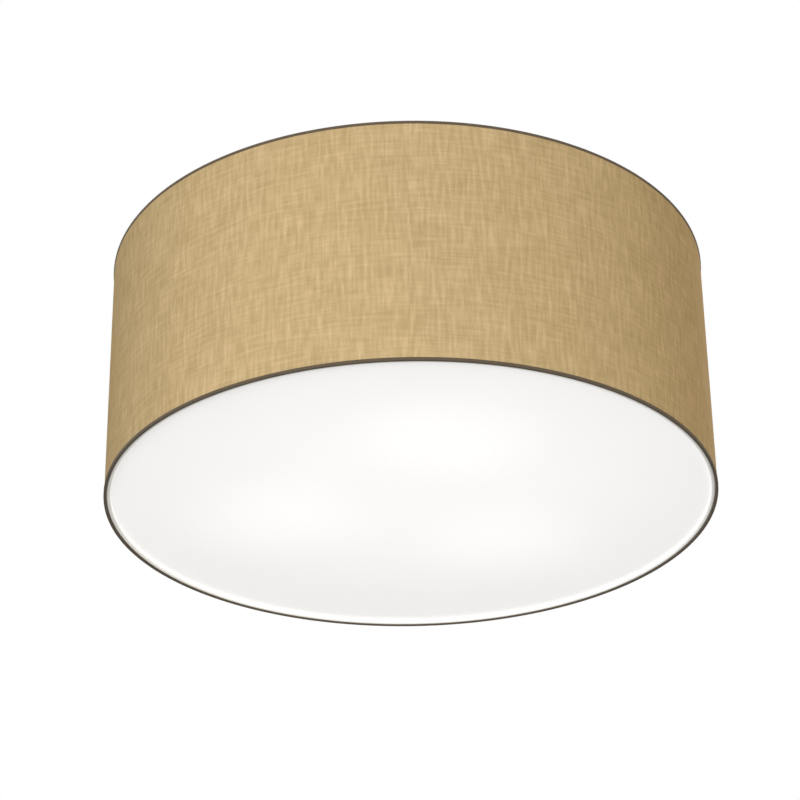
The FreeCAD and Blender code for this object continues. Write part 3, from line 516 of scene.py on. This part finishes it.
def threaded(piece, low, high, crest, depth, pitch):
    """Presses a right-hand thread into a wall by moving its points towards the axis."""
    fade, on_wall = 0.5 * pitch, 0.02 * MM
    for vertex in piece.data.vertices:
        point = vertex.co
        run_out = min(1.0, (point.z - low) / fade, (high - point.z) / fade)
        if run_out > 0 and abs(point.xy.length - crest) < on_wall:
            turn = point.z / pitch - math.atan2(point.y, point.x) / (2 * math.pi)
            wave = 0.5 - 0.5 * math.cos(2 * math.pi * turn)
            point.xy *= 1 - depth * run_out * wave / crest


def cut(piece, size, place, narrowed=1.0):
    """Cuts a block out of a piece; the block narrows downwards."""
    tool = start("cutter", bpy.ops.mesh.primitive_cube_add, size=1, location=place, scale=size)
    pick(tool, "VERT", lambda vertex: vertex.co.z < place[2])
    bpy.ops.transform.resize(value=(narrowed, narrowed, 1), center_override=place)
    choose(piece)
    modifier = piece.modifiers.new("cut", "BOOLEAN")
    modifier.operation = "DIFFERENCE"
    modifier.solver = "EXACT"
    modifier.object = tool
    bpy.ops.object.modifier_apply(modifier=modifier.name)
    bpy.data.objects.remove(tool)


def copies(piece, placings):
    """Puts copies of a piece at their places, each with its own mesh, and removes the first."""
    made = []
    for number, placing in enumerate(placings, 1):
        choose(piece)
        bpy.ops.object.duplicate()
        copy = bpy.context.object
        copy.name = f"{piece.name}_{number}"
        copy.matrix_world = placing
        bpy.ops.object.transform_apply(location=True, rotation=True, scale=True)
        made.append(copy)
    bpy.data.objects.remove(piece)
    return made


def fasten(piece, placings, slot, material, node):
    """Puts fasteners at their places for the CAD node that holds them all."""
    for made in copies(piece, placings):
        settle(made, "base", slot, material, node)


def at(*place):
    """A place, without a turn."""
    return Matrix.Translation(place)


def middle_of(node):
    """Middle of a CAD node."""
    low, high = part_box(node)
    return (low + high) / 2


def along_lamp(lamp):
    """From a piece whose axis is Z to the axis of a lamp, measured from the light's middle."""
    globe = middle_of(f"bulb_globe_{lamp}")
    outward = Vector((globe.x, globe.y, 0)).normalized()
    up = Vector((0, 0, 1))
    turn = Matrix((up, outward.cross(up), outward)).transposed()
    return at(0, 0, globe.z) @ turn.to_4x4()


def round_places(radius, count, first):
    """Places round the Z axis, the first at an angle in degrees."""
    angles = [math.radians(first + 360 * i / count) for i in range(count)]
    return [Matrix.Rotation(angle, 4, "Z") @ at(radius, 0, 0) for angle in angles]


def pan_screw(name, shank, length, head, edge, height, thread=M4_PITCH, arms=2):
    """A screw that stands on its head's plane: threaded shank below, rounded head with its recess above."""
    point, neck, groove = 0.35 * MM, 0.3 * MM, 0.2 * thread + 0.14 * MM
    first, last = point - length, -neck
    section = [(0.5 * shank, -length), (0.82 * shank, -length), *rows(shank, first, last, thread / 6),
               (shank, 0), (head, 0)]
    crown = [(math.cos(a), math.sin(a)) for a in (0.0, 0.35, 0.7, 1.05, 1.35)]
    section += [(head * across, edge + (height - edge) * up) for across, up in crown]
    screw = turned(name, section, 32)
    capped(screw)
    threaded(screw, first, last, shank, groove, thread)
    width, depth = 0.24 * head, 0.5 * height
    reach, narrowed = (1.05 * head, 0.72) if arms == 2 else (2.2 * head, 1.0)
    for size in ((reach, width), (width, reach))[:arms]:
        cut(screw, (*size, 2 * depth), (0, 0, height), narrowed)
    finish_mesh(screw, smooth_angle=35)
    return screw


def hex_nut(name, flats, height, bore):
    """A hexagon nut with chamfered corners that stands on its lower face, its corners along X."""
    corner, face = flats / math.sqrt(3), 0.47 * flats
    chamfer = (corner - face) * math.tan(math.radians(30))
    slope = [(corner + (face - corner) * i / 4, chamfer * i / 4) for i in range(5)]
    section = [(bore, 0), *[(r, chamfer - rise) for r, rise in reversed(slope)],
               *[(r, height - chamfer + rise) for r, rise in slope], (bore, height), (bore, 0)]
    nut = turned(name, section, 72)
    for vertex in nut.data.vertices:
        point = vertex.co
        angle = math.atan2(point.y, point.x) % (math.pi / 3) - math.pi / 6
        flat = 0.5 * flats / math.cos(angle)
        if point.xy.length > flat:
            point.xy *= flat / point.xy.length
    finish_mesh(nut, smooth_angle=20)
    return nut


# ---------------------------------------------------------------- shade


def drum_angle(point):
    """Angle round the drum from the front, positive to the right, cut at the back."""
    return math.atan2(point.x, -point.y)


def wrap_cloth(piece, radius):
    """UV map in metres: along the cloth round the drum, and up it."""
    mesh = piece.data
    layer = mesh.uv_layers.new(name="cloth")
    for face in mesh.polygons:
        middle = drum_angle(face.center)
        for loop in face.loop_indices:
            point = mesh.vertices[mesh.loops[loop].vertex_index].co
            angle = drum_angle(point)
            turn = round((angle - middle) / (2 * math.pi)) * 2 * math.pi
            layer.data[loop].uv = ((angle - turn) * radius, point.z)


def slub_height(along, up):
    """Height of the thick yarns at a place on the cloth, from 0 to a little over 1."""
    upright = noise.noise(Vector((along / (7 * MM), up / (130 * MM), 3.7)))
    level = noise.noise(Vector((along / (95 * MM), up / (5 * MM), 9.1)))
    return max(0.0, upright) + max(0.0, level)


def lap_height(angle, radius):
    """How far the lapped seam at the back stands out, from 0 beside it to 1 on it."""
    slope = 1.2 * MM
    away = (math.pi - abs(angle)) * radius
    return 1.0 - min(1.0, max(0.0, (away - LAP_WIDTH / 2) / slope))


class CEILINGLIGHT_OT_shade_cloth(bpy.types.Operator):
    """Stretches the linen cover round the drum, with its slubs and its lapped seam at the back"""

    bl_idname = "ceilinglight.shade_cloth"
    bl_label = "Shade cloth"

    def execute(self, context):
        shade = context.scene.light_shade
        skin, above_liner, lap_rise = 0.15 * MM, 0.45 * MM, 0.3 * MM
        thickest_slub = 1.2
        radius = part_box("shade_liner")[1].x + above_liner
        low, high = SHADE_LOW.z, SHADE_HIGH.z
        cloth = start("shade_cloth", bpy.ops.mesh.primitive_cylinder_add, vertices=shade.columns,
                      radius=radius, depth=high - low, end_fill_type="NOTHING",
                      location=(0, 0, (low + high) / 2))
        mesh = cloth.data
        pick(cloth, "EDGE", lambda edge: abs(ends_of(mesh, edge)[0].z - ends_of(mesh, edge)[1].z) > MM)
        bpy.ops.mesh.subdivide(number_cuts=shade.rows - 1)
        bpy.ops.object.mode_set(mode="OBJECT")
        for height in (low, high):
            self.turn_in(cloth, height, (radius - 2 * skin) / radius)
        self.close_inside(cloth, radius - 2 * skin)
        finish_mesh(cloth, smooth_angle=60)
        for vertex in mesh.vertices:
            point = vertex.co
            if point.xy.length < radius - skin:
                continue
            angle = drum_angle(point)
            rise = shade.slub_relief * slub_height(angle * radius, point.z) / thickest_slub
            rise += lap_rise * lap_height(angle, radius)
            point.xy *= (radius + min(rise, SHADE_RADIUS - radius)) / radius
        wrap_cloth(cloth, radius)
        settle(cloth, "base", "slub_linen", linen(shade), "shade_fabric")
        return {"FINISHED"}

    def turn_in(self, cloth, height, share):
        """Turns one edge of the cloth inward over its own thickness."""
        mesh = cloth.data
        pick(cloth, "EDGE", lambda edge: all(abs(p.z - height) < 0.01 * MM for p in ends_of(mesh, edge)))
        bpy.ops.mesh.extrude_edges_move()
        bpy.ops.transform.resize(value=(share, share, 1), center_override=(0, 0, height))
        bpy.ops.object.mode_set(mode="OBJECT")

    def close_inside(self, cloth, inner):
        """Joins the two turned edges by the cloth's inner side."""
        mesh = cloth.data
        pick(cloth, "EDGE", lambda edge: all(p.xy.length < inner + 0.05 * MM for p in ends_of(mesh, edge)))
        bpy.ops.mesh.bridge_edge_loops()
        bpy.ops.object.mode_set(mode="OBJECT")


class CEILINGLIGHT_OT_edge_tapes(bpy.types.Operator):
    """Binds both edges of the drum with a folded tape that tucks in behind the wire rings"""

    bl_idname = "ceilinglight.edge_tapes"
    bl_label = "Edge tapes"

    def execute(self, context):
        material = edge_tape(context.scene.light_shade)
        for name, node, sign in (("tape_bottom", "trim_bottom", 1), ("tape_top", "trim_top", -1)):
            low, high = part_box(node)
            edge = low.z if sign > 0 else high.z
            tape = self.folded_tape(name, high.x, edge, sign, high.z - low.z)
            settle(tape, "base", "brown_tape", material, node)
        return {"FINISHED"}

    def folded_tape(self, name, outer, edge, sign, width):
        """A tape ring from its section: outer leg, rounded fold over the edge, tucked leg."""
        thick, tuck, fold = 0.4 * MM, 2.4 * MM, 0.28 * MM
        inner = outer - tuck
        quarter = [math.pi / 8 * i for i in range(5)]
        section = [(outer - thick, width), (outer - 0.1 * MM, width), (outer, width - 0.15 * MM)]
        section += [(outer - fold * (1 - math.cos(a)), fold * (1 - math.sin(a))) for a in quarter]
        section += [(inner + fold * (1 - math.sin(a)), fold * (1 - math.cos(a))) for a in quarter]
        section += [(inner, tuck), (inner + thick, tuck), (inner + thick, thick), (outer - thick, thick)]
        section.append(section[0])
        tape = turned(name, [(r, edge + sign * h) for r, h in section], 480)
        finish_mesh(tape, smooth_angle=35)
        wrap_cloth(tape, outer)
        return tape


# ---------------------------------------------------------------- diffuser, frame, fittings and lamps


def three(stem):
    """Names of three CAD nodes that are alike."""
    return [f"{stem}_{number}" for number in (1, 2, 3)]


def lamp_pieces(make, stem, body, slot, material):
    """Makes a piece once and puts one on each lamp's axis; the body's name may hold the lamp's number."""
    made = copies(make(stem + "_made"), [along_lamp(lamp) for lamp in LAMPS])
    for lamp, piece in zip(LAMPS, made):
        settle(piece, body.format(lamp), slot, material, f"{stem}_{lamp}")


class CEILINGLIGHT_OT_diffuser(bpy.types.Operator):
    """Finishes the opal diffuser"""

    bl_idname = "ceilinglight.diffuser"
    bl_label = "Diffuser"

    def execute(self, context):
        low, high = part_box("diffuser")
        spots = [(globe.x, globe.y, low.z) for globe in map(middle_of, three("bulb_globe"))]
        paint(opal_sheet(context.scene.light_lamps, spots, high.x), "diffuser")
        return {"FINISHED"}


class CEILINGLIGHT_OT_shade_frame(bpy.types.Operator):
    """Finishes the shade's liner, rings and spider arms"""

    bl_idname = "ceilinglight.shade_frame"
    bl_label = "Shade frame"

    def execute(self, context):
        paint(coated("white wire", (0.84, 0.84, 0.82)), "top_ring", *three("spider_arm"))
        # Painted light: the bottom ring is paler than the top ring and glows a little, for the diffuser's
        # light that falls on it.
        paint(coated("white wire with painted diffuser light", (0.88, 0.88, 0.86), glow=0.17), "bottom_ring")
        paint(moulded("liner film", (0.80, 0.78, 0.72), roughness=0.45), "shade_liner")
        return {"FINISHED"}


class CEILINGLIGHT_OT_fasteners(bpy.types.Operator):
    """Makes the screws, studs, hexagon nuts and knurled nuts"""

    bl_idname = "ceilinglight.fasteners"
    bl_label = "Fasteners"

    def execute(self, context):
        zinc = plated("zinc plate", ZINC)
        nickel = plated("nickel plate", NICKEL, roughness=0.18)
        self.screws(zinc)
        self.nuts(zinc)
        self.studs(zinc)
        self.knurled_nuts(nickel)
        return {"FINISHED"}

    def screws(self, zinc):
        """Pan-head screws with a cross, and the terminals' slotted ones."""
        head, reach = M4_SCREW["height"], M4_SCREW["head"]
        low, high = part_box("strap_screws")
        screw = pan_screw("strap_screw", length=high.z - low.z - head, **M4_SCREW)
        places = [at(side * (high.x - reach), 0, high.z - head) for side in (-1, 1)]
        fasten(screw, places, "zinc_steel", zinc, "strap_screws")
        low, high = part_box("bracket_screws")
        screw = pan_screw("bracket_screw", length=high.z - low.z - head, **M4_SCREW)
        upward = at(0, 0, low.z + head) @ Matrix.Rotation(math.pi, 4, "X")
        places = [place @ upward for place in round_places(**FOOT_SCREWS)]
        fasten(screw, places, "zinc_steel", zinc, "bracket_screws")
        self.single_screw("earth_screw_cross", "earth_screw", zinc, M4_SCREW)
        m3 = {"shank": 1.5 * MM, "head": 2.5 * MM, "edge": 1.0 * MM, "height": 1.8 * MM, "thread": 0.5 * MM}
        self.single_screw("block_screw", "block_fixing_screw", zinc, m3)
        low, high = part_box("terminal_screws")
        radius, head = 1.7 * MM, 1.4 * MM
        screw = pan_screw("terminal_screw", 1.5 * MM, high.z - low.z - head, radius, head - 0.3 * MM, head,
                          thread=0.6 * MM, arms=1)
        places = [at(x, y, high.z - head) for x in (low.x + radius, 0, high.x - radius)
                  for y in (low.y + radius, high.y - radius)]
        fasten(screw, places, "zinc_steel", zinc, "terminal_screws")

    def single_screw(self, name, node, zinc, sizes):
        """One upright screw in the middle of its CAD node."""
        low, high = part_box(node)
        middle = middle_of(node)
        screw = pan_screw(name, length=high.z - low.z - sizes["height"], **sizes)
        fasten(screw, [at(middle.x, middle.y, high.z - sizes["height"])], "zinc_steel", zinc, node)

    def nuts(self, zinc):
        """Chamfered hexagon nuts: two under the strap, three on the pan's floor, one on each nipple."""
        m4 = {"flats": 7 * MM, "height": 3.2 * MM, "bore": M4_BORE}
        nipple = {"flats": 14 * MM, "height": 3.6 * MM, "bore": 5.1 * MM}
        behind_bracket = 14.2 * MM
        low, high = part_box("strap_lock_nuts")
        reach = high.x - m4["flats"] / math.sqrt(3)
        places = [at(side * reach, 0, low.z) for side in (-1, 1)]
        fasten(hex_nut("lock_nut", **m4), places, "zinc_steel", zinc, "strap_lock_nuts")
        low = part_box("bracket_nuts")[0]
        places = [place @ at(0, 0, low.z) for place in round_places(**FOOT_SCREWS)]
        fasten(hex_nut("foot_nut", **m4), places, "zinc_steel", zinc, "bracket_nuts")
        places = [along_lamp(lamp) @ at(0, 0, behind_bracket) for lamp in LAMPS]
        fasten(hex_nut("nipple_nut", **nipple), places, "zinc_steel", zinc, "nipple_nuts")

    def studs(self, zinc):
        """Threaded studs with a riveted foot, on which the shade hangs."""
        low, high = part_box("carrier_studs")
        foot, foot_height, crest, point = 3.5 * MM, 1 * MM, M4_SCREW["shank"], 0.4 * MM
        groove, row_gap = 0.28 * MM, 0.12 * MM
        floor = high.z - foot_height
        section = [(0.5 * crest, low.z), (0.8 * crest, low.z),
                   *rows(crest, low.z + point, floor - 0.2 * MM, row_gap),
                   (crest, floor), (foot, floor), (foot, floor + 0.6 * foot_height),
                   (foot - point, high.z), (0.5 * crest, high.z)]
        stud = turned("carrier_stud", section, 32)
        capped(stud)
        threaded(stud, low.z + point, floor - foot_height, crest, groove, M4_PITCH)
        finish_mesh(stud, smooth_angle=35)
        fasten(stud, round_places(**SHADE_STUDS), "zinc_steel", zinc, "carrier_studs")

    def knurled_nuts(self, nickel):
        """Round nuts with a straight knurl and a neck that bears on the shade's arm."""
        low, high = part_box("knurled_nuts")
        rim, bore, neck, chamfer = 7.5 * MM, M4_BORE, 5 * MM, 0.6 * MM
        dish_inner, dish_outer, dish_depth = 4.4 * MM, 6.7 * MM, 0.3 * MM
        knurl_depth, steps = 0.4 * MM, 96
        shoulder = high.z - 1.6 * MM
        section = [(bore, low.z), (dish_inner, low.z), (dish_inner + dish_depth, low.z + dish_depth),
                   (dish_outer - dish_depth, low.z + dish_depth), (dish_outer, low.z),
                   (rim, low.z + 0.8 * MM), (rim, shoulder - chamfer), (rim - chamfer, shoulder),
                   (neck, shoulder), (neck, high.z), (bore, high.z), (bore, low.z)]
        nut = turned("knurled_nut", section, steps)
        for vertex in nut.data.vertices:
            point = vertex.co
            if step_round(point, steps) % 2 and point.xy.length > rim - 0.02 * MM:
                point.xy *= (rim - knurl_depth) / rim
        finish_mesh(nut, smooth_angle=30)
        fasten(nut, round_places(**SHADE_STUDS), "nickel", nickel, "knurled_nuts")


class CEILINGLIGHT_OT_ceiling_parts(bpy.types.Operator):
    """Finishes the pan, strap, brackets, nipples, cap nuts and earth lug"""

    bl_idname = "ceilinglight.ceiling_parts"
    bl_label = "Ceiling parts"

    def execute(self, context):
        paint(coated("white enamel", (0.82, 0.82, 0.80), roughness=0.3), "base_pan")
        paint(plated("zinc steel", ZINC), "ceiling_strap", "holder_nipples", *three("lampholder_bracket"))
        paint(plated("nickel", NICKEL, roughness=0.18), "cap_nuts", "cap_washers", "earth_lug")
        return {"FINISHED"}


class CEILINGLIGHT_OT_wiring(bpy.types.Operator):
    """Finishes the terminal block, the grommet and the leads"""

    bl_idname = "ceilinglight.wiring"
    bl_label = "Wiring"

    def execute(self, context):
        paint(moulded("clear nylon", (0.72, 0.72, 0.68), roughness=0.3), "terminal_block")
        paint(moulded("grommet rubber", (0.035, 0.035, 0.036), roughness=0.6), "cable_grommet")
        paint(sleeved("earth sleeve", (0.20, 0.42, 0.08)), "earth_lead")
        paint(sleeved("lead sleeve", (0.78, 0.77, 0.74)), *three("lead"))
        return {"FINISHED"}


class CEILINGLIGHT_OT_lampholders(bpy.types.Operator):
    """Makes the three lampholders, with grip flutes and threaded brass shells"""

    bl_idname = "ceilinglight.lampholders"
    bl_label = "Lampholders"

    def execute(self, context):
        brass = plated("brass shell", (0.75, 0.60, 0.34), roughness=0.25)
        paint(brass, *three("centre_contact"))
        bakelite = moulded("white bakelite", (0.78, 0.77, 0.73), roughness=0.28)
        lamp_pieces(self.holder, "lampholder", "base", "white_bakelite", bakelite)
        lamp_pieces(self.shell, "screw_shell", "base", "brass_shell", brass)
        return {"FINISHED"}

    def holder(self, name):
        """Moulded holder: domed back, fluted waist, rim, and the bore for the shell."""
        section = [(r * MM, s * MM) for r, s in (
            (1, 27), (5.1, 27), (5.1, 19), (12.4, 19), (13.4, 19.3), (15.4, 20.4), (17.2, 22.1), (18.4, 24),
            (19, 26), (19.1, 28.5), (19.15, 30), (19.85, 55), (19.9, 56.5), (20, 58), (21.6, 60.5),
            (21.6, 64.4), (21.2, 65), (16, 65), (15.6, 64.6), (15.6, 61), (14.2, 61), (14.2, 37), (1, 37))]
        steps, flute_depth, flute_low, flute_high, core = 144, 0.55 * MM, 29 * MM, 56 * MM, 18 * MM
        holder = turned(name, section, steps)
        for vertex in holder.data.vertices:
            point = vertex.co
            fluted = step_round(point, steps) % 4 < 2 and flute_low < point.z < flute_high
            if fluted and point.xy.length > core:
                point.xy *= 1 - flute_depth / point.xy.length
        capped(holder)
        finish_mesh(holder, smooth_angle=28)
        return holder

    def shell(self, name):
        """Threaded brass shell with a lipped floor."""
        wall, lip, crest = 0.5 * MM, 9 * MM, 14 * MM
        low, high = 38 * MM, 60 * MM
        row_gap = E27_PITCH / 8
        section = [(lip, low), *rows(crest, low, high, row_gap),
                   *rows(crest - wall, high, low + wall, row_gap), (lip, low + wall), (lip, low)]
        shell = turned(name, section, 64)
        for radius in (crest, crest - wall):
            threaded(shell, low + MM, high, radius, E27_DEPTH, E27_PITCH)
        finish_mesh(shell, smooth_angle=50)
        return shell


class CEILINGLIGHT_OT_bulbs(bpy.types.Operator):
    """Makes the bulbs' threaded caps and finishes their other pieces"""

    bl_idname = "ceilinglight.bulbs"
    bl_label = "Bulbs"

    def execute(self, context):
        glow = context.scene.light_lamps.glow
        paint(moulded("bulb opal", (0.86, 0.85, 0.82), roughness=0.4, glow=glow), *three("bulb_globe"))
        paint(moulded("bulb plastic", (0.82, 0.82, 0.80), roughness=0.35), *three("bulb_housing"))
        nickel = plated("bulb cap", NICKEL, roughness=0.2)
        lamp_pieces(self.cap, "bulb_cap", "bulb_{}", "nickel", nickel)
        paint(moulded("black insulator", (0.03, 0.03, 0.032), roughness=0.3), *three("bulb_insulator"))
        paint(plated("contact tin", (0.70, 0.69, 0.66), roughness=0.3), *three("bulb_contact"))
        return {"FINISHED"}

    def cap(self, name):
        """Threaded cap: rolled edge on the insulator, thread, and a plain collar on the housing."""
        crest, lining, edge = 13.2 * MM, 12.6 * MM, 11.5 * MM
        low, high = 44.5 * MM, 67 * MM
        lip, sheet = edge - MM, 0.4 * MM
        section = [(lip, low + sheet), (lip, low), (edge, low), (edge + 0.9 * MM, low + sheet),
                   *rows(crest, low + MM, high, E27_PITCH / 8), (lining, high), (lining, low + MM),
                   (lip, low + sheet)]
        cap = turned(name, section, 64)
        threaded(cap, low + MM, high - 4 * MM, crest, E27_DEPTH, E27_PITCH)
        finish_mesh(cap, smooth_angle=50)
        return cap


# ---------------------------------------------------------------- stage


class CEILINGLIGHT_OT_stage(bpy.types.Operator):
    """Sets up the camera, the soft lights, the pale floor and the white surroundings"""

    bl_idname = "ceilinglight.stage"
    bl_label = "Stage"

    def execute(self, context):
        stage = context.scene.light_stage
        self.place_camera(context.scene, stage)
        white, warm = (1.0, 1.0, 1.0), (1.0, 0.80, 0.50)
        self.place_light("key_light", (-0.8, -2.95, -0.9), 1.4, stage.key_power, white)
        self.place_light("fill_light", (2.6, 0.25, -0.5), 1.2, stage.fill_power, warm)
        self.place_light("back_light", (1.6, 2.6, 0.25), 0.8, stage.back_power, white)
        self.lay_floor(stage)
        self.fill_world(context.scene, stage)
        context.scene.view_settings.view_transform = "Standard"
        return {"FINISHED"}

    def place_camera(self, scene, stage):
        """The camera below the drum, looking up at it."""
        data = bpy.data.cameras.new("camera")
        data.lens = stage.camera_lens
        data.sensor_width = 36.0
        data.shift_x = stage.camera_shift
        data.clip_start = 0.05
        data.clip_end = 50.0
        camera = bpy.data.objects.new("camera", data)
        scene.collection.objects.link(camera)
        camera.location = stage.camera_place
        tilt = Matrix.Rotation(math.pi / 2 + stage.camera_rise, 3, "X")
        roll = Matrix.Rotation(stage.camera_roll, 3, "Z")
        camera.rotation_euler = (tilt @ roll).to_euler()
        scene.camera = camera

    def place_light(self, name, place, size, power, colour):
        """A soft round light that faces the drum."""
        deselect()
        bpy.ops.object.light_add(type="AREA", location=place)
        light = bpy.context.object
        light.name = name
        light.data.shape = "DISK"
        light.data.size = size
        light.data.energy = power
        light.data.color = colour
        aim = Vector((0, 0, -0.1)) - Vector(place)
        light.rotation_euler = aim.to_track_quat("-Z", "Y").to_euler()

    def lay_floor(self, stage):
        """A pale floor, far enough down to leave room for views from below."""
        floor = start("floor", bpy.ops.mesh.primitive_plane_add, size=40, location=(0, 0, -stage.floor_drop))
        plain = Finish("pale floor", {"Roughness": 0.8, "Specular IOR Level": 0.1})
        plain.colour(plain.between(plain.grain(plain.place(), scale=0.8), (0.80, 0.80, 0.80),
                                   (0.82, 0.82, 0.82)))
        floor.data.materials.append(plain.material)

    def fill_world(self, scene, stage):
        """White where the camera, metal and glass see it, and the room's soft light for the rest."""
        world = bpy.data.worlds.new("room")
        world.use_nodes = True
        scene.world = world
        tree = world.node_tree
        light = tree.nodes["Background"]
        light.inputs["Color"].default_value = (*stage.sky, 1.0)
        white = tree.nodes.new("ShaderNodeBackground")
        white.inputs["Color"].default_value = (1.0, 1.0, 1.0, 1.0)
        path = tree.nodes.new("ShaderNodeLightPath")
        seen = path.outputs["Is Camera Ray"]
        for ray in ("Is Glossy Ray", "Is Transmission Ray"):
            either = tree.nodes.new("ShaderNodeMath")
            either.operation = "MAXIMUM"
            tree.links.new(seen, either.inputs[0])
            tree.links.new(path.outputs[ray], either.inputs[1])
            seen = either.outputs[0]
        mix = tree.nodes.new("ShaderNodeMixShader")
        tree.links.new(seen, mix.inputs[0])
        tree.links.new(light.outputs[0], mix.inputs[1])
        tree.links.new(white.outputs[0], mix.inputs[2])
        tree.links.new(mix.outputs[0], tree.nodes["World Output"].inputs["Surface"])


# ---------------------------------------------------------------- panel and registration


OPERATORS = (
    CEILINGLIGHT_OT_edge_tapes,
    CEILINGLIGHT_OT_shade_cloth,
    CEILINGLIGHT_OT_diffuser,
    CEILINGLIGHT_OT_shade_frame,
    CEILINGLIGHT_OT_ceiling_parts,
    CEILINGLIGHT_OT_fasteners,
    CEILINGLIGHT_OT_wiring,
    CEILINGLIGHT_OT_lampholders,
    CEILINGLIGHT_OT_bulbs,
    CEILINGLIGHT_OT_stage,
)


class CEILINGLIGHT_PT_sidebar(bpy.types.Panel):
    """Sizes, colours and build steps of the ceiling light"""

    bl_idname = "CEILINGLIGHT_PT_sidebar"
    bl_label = "Ceiling light"
    bl_space_type = "VIEW_3D"
    bl_region_type = "UI"
    bl_category = "Ceiling light"

    def draw(self, context):
        for group in (context.scene.light_shade, context.scene.light_lamps, context.scene.light_stage):
            box = self.layout.box()
            for name in group.__annotations__:
                box.prop(group, name)
        for operator in OPERATORS:
            self.layout.operator(operator.bl_idname)


SETTINGS = {"light_shade": ShadeSettings, "light_lamps": LampSettings, "light_stage": StageSettings}


def register():
    """Makes the settings, operators and panel known to Blender."""
    for name, group in SETTINGS.items():
        bpy.utils.register_class(group)
        setattr(bpy.types.Scene, name, bpy.props.PointerProperty(type=group))
    for made in (*OPERATORS, CEILINGLIGHT_PT_sidebar):
        bpy.utils.register_class(made)


def unregister():
    """Takes them away again."""
    for made in (CEILINGLIGHT_PT_sidebar, *reversed(OPERATORS)):
        bpy.utils.unregister_class(made)
    for name, group in SETTINGS.items():
        delattr(bpy.types.Scene, name)
        bpy.utils.unregister_class(group)


def main():
    """Builds every piece and the stage."""
    register()
    for operator in OPERATORS:
        getattr(bpy.ops.ceilinglight, operator.bl_idname.split(".")[1])()
    deselect()


if __name__ == "__main__":
    main()
